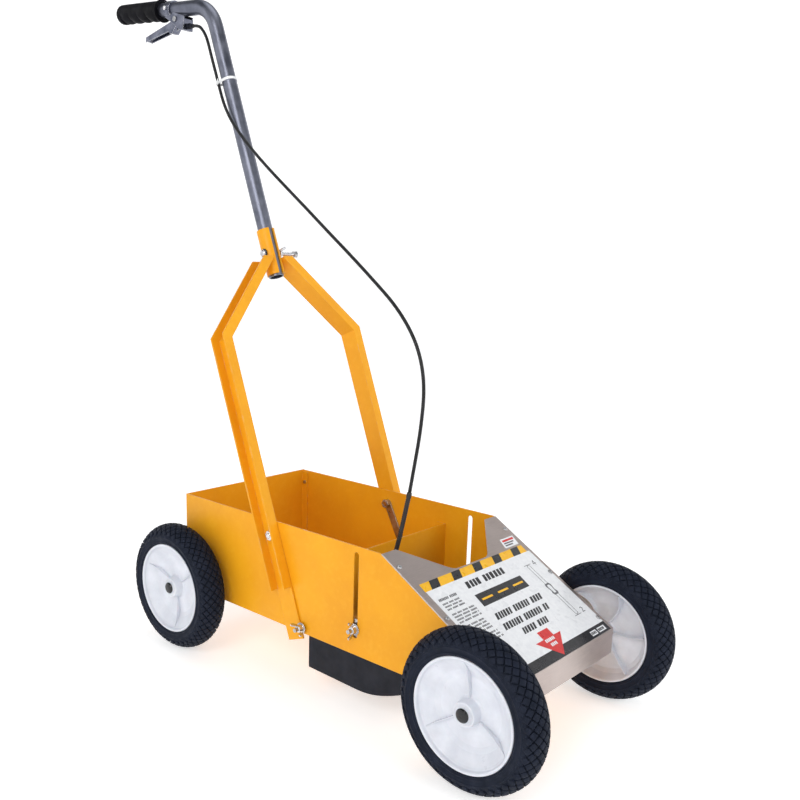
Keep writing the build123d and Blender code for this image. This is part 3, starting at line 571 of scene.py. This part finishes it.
cable_line = spline_points(cable_route)
cable = add_piece("cable_casing", *tube_mesh(cable_line, lambda i: cable_radius), [cable_black])
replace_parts(cable, "control_cable")
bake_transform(cable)

sleeve_line = resample(spline_points(sleeve_route), 0.75 * MM)
sleeve_wave = (0, 1, 1, 0)
sleeve_rise = 0.3
sleeve_waist = 3.05
sleeve_cuff_radius = 3.6 * MM
sleeve_cuff_rings = 10


def sleeve_radius(i):
    """Radius at ring i: a plain cuff at each end, small ribs between them."""
    if min(i, len(sleeve_line) - 1 - i) < sleeve_cuff_rings:
        return sleeve_cuff_radius
    return (sleeve_waist + sleeve_rise * sleeve_wave[i % len(sleeve_wave)]) * MM


sleeve = add_piece("cable_boot", *tube_mesh(sleeve_line, sleeve_radius, 20), [boot_dark])
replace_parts(sleeve, "cable_sleeve")
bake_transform(sleeve)

# ---- stage and light ----------------------------------------------------------------------
world = bpy.data.worlds.new("studio")
bpy.context.scene.world = world
world.use_nodes = True
sky = world.node_tree.nodes["Background"]
sky_coordinates = world.node_tree.nodes.new("ShaderNodeTexCoord")
sky_split = world.node_tree.nodes.new("ShaderNodeSeparateXYZ")
sky_ramp = world.node_tree.nodes.new("ShaderNodeValToRGB")
world.node_tree.links.new(sky_coordinates.outputs["Generated"], sky_split.inputs[0])
world.node_tree.links.new(sky_split.outputs["Z"], sky_ramp.inputs["Fac"])
world.node_tree.links.new(sky_ramp.outputs["Color"], sky.inputs["Color"])
sky_stops = ((0.30, (0.42, 0.42, 0.42, 1)), (0.85, (0.20, 0.21, 0.22, 1)))
for element, (position, color) in zip(sky_ramp.color_ramp.elements, sky_stops):
    element.position = position
    element.color = color

floor_glow = 0.52
floor_shader = Shader("floor", (0.78, 0.78, 0.78), 0.7)
floor_shader.color(floor_shader.mix(floor_shader.noise(3), (0.76, 0.76, 0.76), (0.80, 0.80, 0.80)))
floor_shader.base.inputs["Emission Color"].default_value = (1, 1, 1, 1)
floor_shader.base.inputs["Emission Strength"].default_value = floor_glow
bowl = [(0, 0), (0, 5), (0.25, 6.5), (1.0, 7.7), (2.2, 8.3), (6.0, 8.5)]
floor = Build()
floor.lathe(rounded(bowl, 1.2, 8), around=96)
stage_floor = floor.piece("stage_floor", [floor_shader.material])


def lamp(name, place, aim, size, power, color):
    """A square soft light at a place, turned to its aim."""
    data = bpy.data.lights.new(name, "AREA")
    data.shape = "SQUARE"
    data.size = size
    data.energy = power
    data.color = color
    holder = bpy.data.objects.new(name, data)
    holder.location = place
    holder.rotation_mode = "QUATERNION"
    holder.rotation_quaternion = (Vector(aim) - Vector(place)).to_track_quat("-Z", "Y")
    bpy.context.scene.collection.objects.link(holder)


lamp("key", (-2.6, -1.0, 2.3), (0, -0.1, 0.3), 1.5, 37, (1, 0.985, 0.96))
lamp("front", (0.5, -3.2, 1.7), (0, -0.2, 0.2), 1.3, 20, (0.97, 0.985, 1))
lamp("top", (0.3, 0.2, 3.2), (0, 0, 0.2), 1.8, 18, (1, 1, 1))
bpy.context.scene.view_settings.view_transform = "Standard"

# ---- tyres --------------------------------------------------------------------------------
crown = 26 * MM
crown_end = math.radians(54.8)
groove = 2.7 * MM
tread_count = 46
tread_cross = 12.4 * MM
tread_rows = 4
block_gap = 0.10
block_tip = 0.16
shoulder_out, shoulder_in = 0.24, 0.97


def tread_frame(t):
    """Across and out of the tyre at arc length t from its middle, and the outward normal."""
    swing = max(-crown_end, min(crown_end, t / crown))
    across = crown * math.sin(swing)
    out = wheel_radius - crown + crown * math.cos(swing)
    normal = Vector((math.sin(swing), math.cos(swing)))
    beyond = abs(t) - crown * crown_end
    if beyond > 0:
        side = math.copysign(1, t)
        slide = Vector((shoulder_out * side, -shoulder_in))
        across += slide.x * beyond
        out += slide.y * beyond
        normal = Vector((shoulder_in * side, shoulder_out))
    return Vector((across, out)), normal


def tyre_spot(u, t, lift):
    """Point on the tyre: u round it in tread pitches, t across it, lift above the crown."""
    spot, normal = tread_frame(t)
    spot = spot + normal * lift
    angle = TAU * u / tread_count
    return Vector((spot.y * math.cos(angle), spot.y * math.sin(angle), spot.x))


def diamond_block(made, u, t):
    """One raised tread block: a diamond with clipped tips, chamfered, on curved ground."""
    half_u, half_t = 0.5, tread_cross / 2
    tip, side_tip = block_tip, block_tip * 0.6
    outline = []
    for a, b in ((1, 0), (0, 1), (-1, 0), (0, -1)):
        if a:
            outline += [(a * (1 - tip), -a * tip), (a * (1 - tip), a * tip)]
        else:
            outline += [(b * side_tip, b * (1 - side_tip)), (-b * side_tip, b * (1 - side_tip))]
    # Share of the outline and lift: foot, edge, top edge, middle of the top.
    rings = (
        (1 - 0.7 * block_gap, -groove), (1 - 1.5 * block_gap, -0.35 * MM),
        (1 - 2.6 * block_gap, 0), (0.42, 0),
    )
    verts = []
    for share, lift in rings:
        for a, b in outline:
            verts.append(tyre_spot(u + a * share * half_u, t + b * share * half_t, lift))
    count = len(outline)
    faces = ring_faces(len(rings), count)
    verts.append(tyre_spot(u, t, 0))
    last = (len(rings) - 1) * count
    for i in range(count):
        faces.append((last + i, last + (i + 1) % count, len(verts) - 1))
    made.add(verts, faces)


half_width = tyre_width / 2
carcass_half = [
    (half_width - 2.9 * MM, 88.2 * MM), (half_width - 1.0 * MM, 84.6 * MM),
    (half_width - 0.9 * MM, 83.9 * MM), (half_width - 0.1 * MM, 83.4 * MM),
    (half_width - 0.1 * MM, 82.2 * MM), (half_width - 0.8 * MM, 81.6 * MM),
    (half_width - 1.6 * MM, 77.6 * MM), (half_width - 1.3 * MM, 76.4 * MM),
    (half_width - 0.6 * MM, 75.8 * MM), (half_width - 0.6 * MM, 74.6 * MM),
    (half_width - 1.5 * MM, 74.0 * MM), (half_width - 2.0 * MM, 72.2 * MM),
    (half_width - 3.4 * MM, tyre_bore + 0.1 * MM),
]
tyre = Build()
crown_steps = 12
ground = []
for i in range(-crown_steps, crown_steps + 1):
    spot, normal = tread_frame(crown * crown_end * i / crown_steps)
    spot = spot - normal * groove
    ground.append((spot.x, spot.y))
profile = [(-x, r) for x, r in reversed(carcass_half)] + ground + carcass_half
tyre.lathe(rounded(profile, 0.4 * MM, 2) + [profile[0]], around=138)
for row in range(-tread_rows, tread_rows + 1):
    for i in range(tread_count):
        offset = 0.5 * (row % 2)
        diamond_block(tyre, i + offset, row * tread_cross / 2)
# Shoulder lugs: places in tread pitches round the tyre and millimetres across it.
lug_middle = 31.4
lug_outline = ((-0.34, 29.5), (0.34, 29.5), (0.2, 33.4), (-0.2, 33.4))
lug_levels = ((-2.6 * MM, 1.0), (-0.2 * MM, 0.72))
for side in (-1, 1):
    for i in range(tread_count):
        middle_u = i + 0.5
        verts = []
        for lift, shrink in lug_levels:
            for du, t in lug_outline:
                verts.append(tyre_spot(
                    middle_u + du * shrink, side * (lug_middle + (t - lug_middle) * shrink) * MM, lift))
        tyre.add(verts, [(0, 1, 5, 4), (1, 2, 6, 5), (2, 3, 7, 6), (3, 0, 4, 7), (4, 5, 6, 7)])
# Moulding hairs.
hair_count = 90
hair_spread = 24
hair_width = 0.22
hair_lean = 0.5
for i in range(hair_count):
    u, t = draw.uniform(0, tread_count), draw.uniform(-hair_spread, hair_spread) * MM
    root, crest = tyre_spot(u, t, -0.3 * MM), tyre_spot(u, t, draw.uniform(1.0, 2.2) * MM)
    lean = Vector((draw.uniform(-1, 1), draw.uniform(-1, 1), draw.uniform(-1, 1))) * hair_lean * MM
    side = (crest - root).orthogonal().normalized() * hair_width * MM
    other = (crest - root).normalized().cross(side)
    tyre.add([root + side, root - side + other, root - other, crest + lean],
             [(0, 1, 3), (1, 2, 3), (2, 0, 3)])

# ---- hubs: a dished outer face with three ribs, six curved ribs behind ------------------------
hub_profile = [
    (-21.7, 6.1), (18.2, 6.1), (18.2, 8.6), (16.4, 9.2), (16.4, 12.6), (17.2, 13.2), (17.2, 15.2),
    (15.2, 15.8), (4.6, 17.0), (3.0, 19.5), (2.2, 30.0), (2.6, 44.0), (5.5, 51.0), (14.6, 64.0),
    (17.0, 66.6), (20.6, 67.6), (21.6, 69.0), (21.4, 71.2), (19.5, 71.5), (-19.5, 71.5),
    (-20.9, 70.9), (-20.7, 69.0), (-19.2, 67.8), (-6.0, 63.0), (-1.8, 57.0), (-1.2, 40.0),
    (-1.6, 24.0), (-3.2, 18.0), (-5.0, 15.4), (-20.0, 14.0), (-21.7, 12.6), (-21.7, 6.1),
]
hub = Build()
hub.lathe(rounded(in_mm(hub_profile), 1.6 * MM, 3), around=120)
boss_edge, rim_edge = 15.5, 65.5
swirl_reach = 10


def rib(made, side, turn, swirl, thickness, crest):
    """A thin tapering rib from the boss to the rim, curved by its swirl."""
    steps = 12
    verts, faces = [], []
    for i in range(steps + 1):
        t = i / steps
        radius = (boss_edge + (rim_edge - boss_edge) * t) * MM
        angle = turn + swirl * math.sin(math.pi * t) / radius * MM * swirl_reach
        radial = Vector((math.cos(angle), math.sin(angle), 0))
        cross = Vector((-radial.y, radial.x, 0)) * thickness / 2
        top = crest(t) * MM
        foot = (1.0 if side > 0 else -0.5) * MM
        for height, share in ((foot, 1.5), (top * 0.75 + foot * 0.25, 0.9), (top, 0.55)):
            verts.append(radial * radius - cross * share + Vector((0, 0, height)))
            verts.append(radial * radius + cross * share + Vector((0, 0, height)))
    for i in range(steps):
        a, b = i * 6, (i + 1) * 6
        faces += [(a, b, b + 2, a + 2), (a + 2, b + 2, b + 4, a + 4), (a + 4, b + 4, b + 5, a + 5),
                  (a + 5, b + 5, b + 3, a + 3), (a + 3, b + 3, b + 1, a + 1)]
    made.add(verts, faces)


for i in range(3):
    rib(hub, 1, TAU * (i / 3 + 0.02), 0, 1.7 * MM, lambda t: 6.2 + 9.5 * t ** 2.2)
for i in range(6):
    rib(hub, -1, TAU * i / 6, 0.55, 2.4 * MM, lambda t: -11 + 3.5 * math.sin(math.pi * t) - 7 * t ** 3)

# How far each wheel is turned, in degrees.
wheel_turns = {"front_right": 116, "front_left": 20, "rear_right": 60, "rear_left": 150}
wheel_kinds = (
    ("tyre", tyre, tyre_black, "tyre_rubber", 38),
    ("hub", hub, white_plastic, "white_plastic", 50),
)
for end in ("front", "rear"):
    for side, sign in (("right", -1), ("left", 1)):
        wheel = end + "_" + side
        place = facing(middle(wheel + "_tyre"), (sign, 0, 0))
        turn = Matrix.Rotation(math.radians(wheel_turns[wheel]), 4, "Z")
        for kind, made, finish, slot, sharp in wheel_kinds:
            turned = Build()
            turned.add([place @ turn @ v for v in made.verts], made.faces)
            piece = turned.piece(wheel + "_" + kind + "_detail", [finish], wheel + "_wheel", slot)
            piece.data.set_sharp_from_angle(angle=math.radians(sharp))
            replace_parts(piece, wheel + "_" + kind)

# ---- domed axle caps -------------------------------------------------------------------------
caps_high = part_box("axle_caps")[1]
cap_height = 4 * MM
cap_dome = [
    (0, 6.02), (0, 8.6), (0.4, 9.0), (1.2, 9.0), (1.6, 8.5), (2.6, 7.8), (3.4, 6.0), (3.9, 3.4),
    (4.0, 0.9), (3.7, 0.5), (3.7, 0.0),
]
caps = Build()
for end in ("front", "rear"):
    centre = middle(end + "_axle")
    for sign in (-1, 1):
        seat = Vector((sign * (caps_high.x - cap_height), centre.y, centre.z))
        caps.lathe(in_mm(rounded(cap_dome, 0.5, 3)), facing(seat, (sign, 0, 0)), 40)
cap_piece = caps.piece("axle_caps_detail", [cap_black], "chassis", "black_plastic")
cap_piece.data.set_sharp_from_angle(angle=math.radians(50))
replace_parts(cap_piece, "axle_caps")


# ---- wing nuts -----------------------------------------------------------------------------
def wing_nut(made, place):
    """A washer, a waisted body and two raised, rounded wings."""
    washer = [(0, 3.05), (0, 8), (0.2, 8.2), (1.1, 8.2), (1.3, 8), (1.3, 3.05)]
    made.lathe(in_mm(washer), place, 36)
    body = [(1.3, 3.05), (1.3, 5.9), (2.2, 6.1), (5.0, 5.2), (7.4, 4.9), (8.0, 4.3), (8.0, 3.05)]
    made.lathe(in_mm(rounded(body, 0.6, 3)), place, 36)
    wing = [(3.6, 1.8), (6.2, 2.2), (8.6, 4.2), (11.2, 6.8), (12.6, 9.4), (12.7, 11.6), (11.6, 13.0),
            (9.8, 13.1), (8.4, 12.0), (7.2, 9.6), (5.8, 7.6), (3.9, 6.8)]
    for sign in (-1, 1):
        outline = [(sign * x * MM, y * MM) for x, y in wing]
        if sign < 0:
            outline.reverse()
        upright = place @ Matrix.Rotation(math.pi / 2, 4, "Z") @ Matrix.Rotation(math.pi / 2, 4, "X")
        made.slab(outline, 2.1 * MM, upright)


def nut_piece(name, places, body, node):
    """Wing nuts in place of the CAD node's plain ones."""
    made = Build()
    for place in places:
        wing_nut(made, place)
    piece = soften(made.piece(name, [bright_zinc], body, "zinc"), 0.55 * MM, 3, 40)
    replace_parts(piece, node)


nut_depth = 12.5 * MM


def seats(node, lean):
    """Where a pair of wing nuts sits: its washer's outer place on each side."""
    low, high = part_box(node)
    spot = (low + high) / 2
    found = []
    for sign, x in ((-1, low.x), (1, high.x)):
        face = x - sign * nut_depth
        across = (0, math.sin(lean), math.cos(lean))
        found.append(facing((face, spot.y, spot.z), (sign, 0, 0), across))
    return found


lock_seats = seats("lock_wing_nuts", math.radians(-30))
slide_seats = seats("slide_wing_nuts", math.radians(90))
nut_piece("lock_wing_nuts_detail", lock_seats, "chassis", "lock_wing_nuts")
nut_piece("slide_wing_nuts_detail", slide_seats, "carriage", "slide_wing_nuts")
clamp_nut_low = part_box("clamp_wing_nut")[0]
clamp_middle = middle("clamp_wing_nut")
clamp_seat = facing((clamp_nut_low.x, clamp_middle.y, clamp_middle.z), (1, 0, 0), (0, 0.9, 0.43))
nut_piece("clamp_wing_nut_detail", [clamp_seat], "handle", "clamp_wing_nut")

# ---- grip: soft tube with four finger rests, fine ribs and a flange -----------------------------
grip_steps = 150
grip_around = 96
rest_start, rest_end = 9 * MM, 113 * MM
rest_pitch = 26 * MM
rest_depth = 4.6 * MM
flute_start, flute_end = 10 * MM, 116 * MM
flute_depth = 0.22 * MM
flange_rise, flange_flat, flange_end = 2 * MM, 2.2 * MM, 3.2 * MM
collar_rise, collar_end = 1.4 * MM, 6 * MM
flange_slope = 0.6
nose = 8 * MM


def grip_reach(s, angle):
    """Radius of the grip at s along it and an angle round it, its finger rests below."""
    below, above = max(0.0, -math.sin(angle)), max(0.0, math.sin(angle))
    reach = grip_radius
    if rest_start < s < rest_end:
        wave = abs(math.sin(math.pi * (s - rest_start) / rest_pitch))
        reach -= rest_depth * below ** 1.2 * (1 - wave ** 0.7)
    if flute_start < s < flute_end:
        reach += flute_depth * math.cos(grip_around / 2 * angle) * (0.35 + 0.65 * above)
    if s < flange_end:
        reach = grip_radius + flange_rise - max(0, s - flange_flat) * flange_slope
    elif s < collar_end:
        reach = min(reach, grip_radius + collar_rise - (s - flange_end) * flange_slope)
    left = grip_length - s
    if left < nose:
        bend = 1 - left / nose
        reach = min(reach, (grip_radius - nose) + nose * math.sqrt(max(0, 1 - bend * bend)))
    return reach


grip_build = Build()
verts, faces = [], []
for i in range(grip_steps + 1):
    s = grip_length * (i / grip_steps)
    for k in range(grip_around):
        angle = TAU * k / grip_around
        reach = grip_reach(s, angle)
        verts.append(grip_point(reach * math.cos(angle), grip_start + s, reach * math.sin(angle)))
for i in range(grip_steps):
    near, far = i * grip_around, (i + 1) * grip_around
    for k in range(grip_around):
        n = (k + 1) % grip_around
        faces.append((near + k, far + k, far + n, near + n))
last = grip_steps * grip_around
faces.append(tuple(range(last, last + grip_around)))
for k in range(grip_around):
    angle = TAU * k / grip_around
    verts.append(grip_point(tube_radius * math.cos(angle), grip_start, tube_radius * math.sin(angle)))
for k in range(grip_around):
    n = (k + 1) % grip_around
    faces.append((k, n, len(verts) - grip_around + n, len(verts) - grip_around + k))
grip_build.add(verts, faces)
grip_piece = grip_build.piece("grip_detail", [grip_black], "handle", "grip_rubber")
grip_piece.data.set_sharp_from_angle(angle=math.radians(40))
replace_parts(grip_piece, "grip")

# ---- label on the sloped plate --------------------------------------------------------------
# Places on the plate in millimetres: x across, s down the slope from its top edge.
slope_length = math.hypot(slope_run, z_top - z_bend)
down = Vector((0, -slope_run, z_bend - z_top)) / slope_length
outward = Vector((0, z_bend - z_top, slope_run)) / slope_length
slope_top = Vector((0, y_slope, z_top))
print_kinds = [film_white, film_black, film_yellow, film_red, film_grey]
WHITE, BLACK, YELLOW, RED, GREY = range(5)
film_foot = 0.02
label = Build()


def on_plate(x, s, lift):
    """A place on the plate, lifted off it, all in millimetres."""
    return slope_top + Vector((x * MM, 0, 0)) + down * (s * MM) + outward * (lift * MM)


def patch(points, kind, level):
    """A film of print with the given outline, its top at the level, in tenths of a millimetre."""
    area = sum(a[0] * b[1] - b[0] * a[1] for a, b in zip(points, points[1:] + points[:1]))
    if area > 0:
        points = points[::-1]
    count = len(points)
    verts = [on_plate(x, s, level / 10) for x, s in points]
    verts += [on_plate(x, s, film_foot) for x, s in points]
    faces = [tuple(range(count))]
    for i in range(count):
        k = (i + 1) % count
        faces.append((i, count + i, count + k, k))
    label.add(verts, faces, kind)


def block(x, s, width, height, kind, level, slant=0.0):
    corners = [(x, s), (x + width, s), (x + width - slant, s + height), (x - slant, s + height)]
    patch(corners, kind, level)


def stroke(points, width, kind, level):
    """A thin line of print along straight runs."""
    for (ax, ay), (bx, by) in zip(points, points[1:]):
        length = math.hypot(bx - ax, by - ay)
        nx, ny = -(by - ay) / length * width / 2, (bx - ax) / length * width / 2
        ex, ey = (bx - ax) / length * width / 2, (by - ay) / length * width / 2
        patch([(ax - ex + nx, ay - ey + ny), (bx + ex + nx, by + ey + ny),
               (bx + ex - nx, by + ey - ny), (ax - ex - nx, ay - ey - ny)], kind, level)


def word_bars(x, s, width, height, kind, level, slant, sizes):
    """Plain upright blocks in the rhythm of a printed line, with no letters in them."""
    end = x + width
    while x < end - sizes[0]:
        for i in range(draw.randint(4, 8)):
            wide = draw.uniform(*sizes)
            if x + wide > end:
                break
            block(x, s, wide * 0.74, height, kind, level, slant)
            x += wide
        x += sizes[1] * 0.8


block(-119.5, 76, 246, 145.5, WHITE, 1.2)
block(-119.5, 62.4, 241.5, 13.6, YELLOW, 1.2, 1.0)
for i in range(5):
    block(-99.4 + i * 48.1, 62.4, 18.6, 13.6, BLACK, 2.0, 7.0)
block(-119.5, 221.5, 246, 15, BLACK, 1.2)
block(81, 226, 15, 7.4, WHITE, 2.0, 0.6)
block(100, 226, 19, 7.4, WHITE, 2.0, 0.6)
word_bars(82, 227.6, 13, 4.2, BLACK, 2.8, 0.4, (2.6, 3.4))
word_bars(101, 227.6, 17, 4.2, BLACK, 2.8, 0.4, (2.6, 3.6))
word_bars(-45, 84, 102, 11, BLACK, 2.0, 3.0, (7.0, 9.4))
# A plain strip of road with its dashed middle line.
block(-49, 107, 110, 20.5, BLACK, 2.0, 1.6)
for x in (-43, -6, 31):
    block(x, 115.7, 24, 3.0, YELLOW, 3.0)
word_bars(-46, 142.5, 112, 10, BLACK, 2.0, 4.0, (5.2, 7.2))
word_bars(-49, 160, 113, 10, BLACK, 2.0, 4.0, (5.2, 7.2))
word_bars(-25, 176.5, 61, 9.6, BLACK, 2.0, 4.0, (5.2, 7.2))
patch([(-9, 192), (16, 192), (16, 204.5), (33, 204.5), (2, 234.5), (-28, 204.5), (-9, 204.5)], RED, 2.4)
word_bars(-8, 205.5, 24, 4.6, WHITE, 3.0, 0.6, (3.2, 4.4))
word_bars(-4, 213, 15, 4.6, WHITE, 3.0, 0.6, (3.2, 4.4))
word_bars(-112, 92.5, 40, 4.0, GREY, 2.0, 1.0, (2.4, 3.4))
for first, lines, wide in ((100.5, 3, 46), (118.5, 4, 50), (140.5, 4, 50), (162, 3, 56)):
    for i in range(lines):
        word_bars(-112, first + i * 4.7, wide - draw.uniform(0, 9), 2.5, GREY, 2.0, 0.4, (1.6, 2.8))
# Width gauge: a long slot outline with a slider between its two marks.
for x in (91, 97.5):
    stroke([(x, 100), (x, 193)], 0.9, GREY, 2.0)
for s in (100, 193):
    stroke([(91, s), (94.2, s + (3.2 if s > 150 else -3.2)), (97.5, s)], 0.9, GREY, 2.0)
stroke([(86, 97), (102, 97)], 0.8, GREY, 2.2)
stroke([(86, 196.5), (102, 196.5)], 0.8, GREY, 2.2)
patch([(89.5, 135), (99, 135), (101, 139), (99, 148), (101, 152), (99, 156), (89.5, 156), (87.5, 152),
       (89.5, 148), (87.5, 139)], GREY, 2.6)
patch([(91.5, 138), (97, 138), (98, 141), (96.5, 153), (92, 153), (90.5, 141)], WHITE, 3.2)
stroke([(112, 93.5), (108.5, 98.5), (114.5, 98.5)], 1.0, BLACK, 2.0)
stroke([(112.6, 93.5), (112.6, 101.2)], 1.0, BLACK, 2.2)
stroke([(108.6, 189.6), (111.4, 188.4), (113.4, 190.2), (108.6, 196.2), (114, 196.2)], 1.0, BLACK, 2.0)
# Small sticker beside the cut-out: two grey bars under a red band.
block(91, 42, 34, 17, WHITE, 1.2, 4.5)
block(93.5, 44.5, 28, 3.6, RED, 2.0, 1.0)
block(92.5, 50, 24, 2.2, GREY, 2.0, 0.6)
block(91.5, 54, 19, 2.2, GREY, 2.0, 0.6)
label.piece("plate_label", print_kinds, "chassis", "white_plastic", smooth=False)

# ---- small hardware ----------------------------------------------------------------------------
# Pan-head screws with a cross recess on the plate.
screws = Build()
screw_x = x_side - 8 * MM
head = [(0, 3.6), (0.9, 3.55), (1.7, 2.7), (2.05, 1.3), (2.05, 1.1), (1.2, 0.9), (1.2, 0.0)]
for s in (27.5, 121, 214):
    for sign in (-1, 1):
        seat = facing(on_plate(0, s, 0) + Vector((sign * screw_x, 0, 0)), outward, (1, 0, 0))
        screws.lathe(in_mm(rounded(head, 0.4, 3)), seat, 32)
        turn = draw.uniform(0, 90)
        for quarter in (0, 90):
            spin = seat @ Matrix.Rotation(math.radians(turn + quarter), 4, "Z")
            spin = spin @ Matrix.Translation((0, 0, 1.72 * MM))
            screws.slab(oblong(2.1, 0.35), 0.5 * MM, spin, 1)
screw_piece = screws.piece("plate_screws_detail", [zinc, film_black], "chassis", "zinc")
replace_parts(screw_piece, "plate_screws")

# Domed nut and dark washer on the near end of the clamp bolt, bare thread on the far end.
clamp = Build()
near = Vector((-tube_radius - 2.5 * MM, clamp_middle.y, clamp_middle.z))
near_place = facing(near, (-1, 0, 0))
clamp_washer = [(0, 3), (0, 7.4), (0.9, 7.4), (1.1, 7.2), (1.1, 3)]
clamp.lathe(in_mm(clamp_washer), near_place, 40, 1)
clamp.slab(hexagon(6.3 * MM), 2.4 * MM, near_place @ Matrix.Translation((0, 0, 2.3 * MM)))
clamp_dome = [(3.4, 5.3), (4.2, 5.1), (5.0, 4.2), (5.5, 2.6), (5.7, 0.0)]
clamp.lathe(in_mm(clamp_dome), near_place, 40)
thread_length = clamp_high.x - near.x
thread_pitch = 1.0 * MM
thread_radius, thread_depth = 3.0, 0.35
thread = []
for i in range(int(thread_length / (thread_pitch / 2))):
    thread.append((i * thread_pitch / 2, (thread_radius - thread_depth * (i % 2)) * MM))
thread += [(thread_length, 2.2 * MM), (thread_length, 0)]
clamp.lathe(thread, facing(near, (1, 0, 0)), 32, 0)
clamp_piece = clamp.piece("clamp_bolt_detail", [bright_zinc, black_plastic], "handle", "zinc")
clamp_piece.data.set_sharp_from_angle(angle=math.radians(30))
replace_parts(clamp_piece, "clamp_bolt")

# Pivot bolts: a washer, a hexagon head and the thread's end inside the leg's channel.
pivot_low, pivot_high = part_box("pivot_bolts")
pivot_reach = 5 * MM
pivots = Build()
pivot_washer = [
    (-14.5, 0), (-14.5, 3.9), (0, 3.9), (0, 8.6), (0.2, 8.8), (1.2, 8.8), (1.4, 8.6), (1.4, 0),
]
pivot_end = [(5.2, 3.9), (6.6, 3.9), (7.2, 3.2), (7.2, 0)]
for sign, x in ((-1, pivot_low.x), (1, pivot_high.x)):
    seat = facing((x - sign * pivot_reach, pivot.y, pivot.z), (sign, 0, 0), (0, 0.5, 0.87))
    pivots.lathe(in_mm(pivot_washer), seat, 32)
    pivots.slab(hexagon(7.6 * MM), 4.4 * MM, seat @ Matrix.Translation((0, 0, 3.4 * MM)))
    pivots.lathe(in_mm(pivot_end), seat, 32)
pivot_piece = pivots.piece("pivot_bolts_detail", [bright_zinc], "chassis", "zinc")
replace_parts(soften(pivot_piece, 0.4 * MM, 2, 25), "pivot_bolts")

# Zip tie's head and its clipped tail.
along_tube = handle_point(0, 1, 0) - handle_point(0, 0, 0)
tie_spot = handle_point(-16.6 * MM, 0.730, 11.5 * MM)
tie_place = facing(tie_spot, (-1, 0.35, 0), along_tube)
tie = Build()
tie.slab(oblong(2.6, 2.4), 3.2 * MM, tie_place)
tail_shift = Matrix.Translation((0, -6.4 * MM, 1.0 * MM))
tail = tie_place @ tail_shift @ Matrix.Rotation(math.radians(-14), 4, "X")
tie.slab(oblong(1.7, 4.6), 0.9 * MM, tail)
soften(tie.piece("zip_tie_head", [nylon], "handle", "nylon"), 0.4 * MM)

# Bare wire from the adjuster to the lever's nipple, and from the stop down to the rocker.
wire_radius = 0.8 * MM
brake_route = ((0.060, -0.028), (0.078, -0.0295), (0.0986, -0.0358))
brake_line = resample([grip_point(0, along, above) for along, above in brake_route], 2 * MM)
brake_wire = add_piece("brake_wire", *tube_mesh(brake_line, lambda i: wire_radius, 12), [zinc])
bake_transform(brake_wire)
stop_middle = middle("cable_stop")
rocker_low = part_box("valve_rocker")[0]
valve_end = Vector((stop_middle.x, stop_middle.y, rocker_low.z - 2 * MM))
valve_line = resample([stop_middle, valve_end], 1.5 * MM)
valve_wire = add_piece("valve_wire", *tube_mesh(valve_line, lambda i: wire_radius, 12), [zinc])
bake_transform(valve_wire)
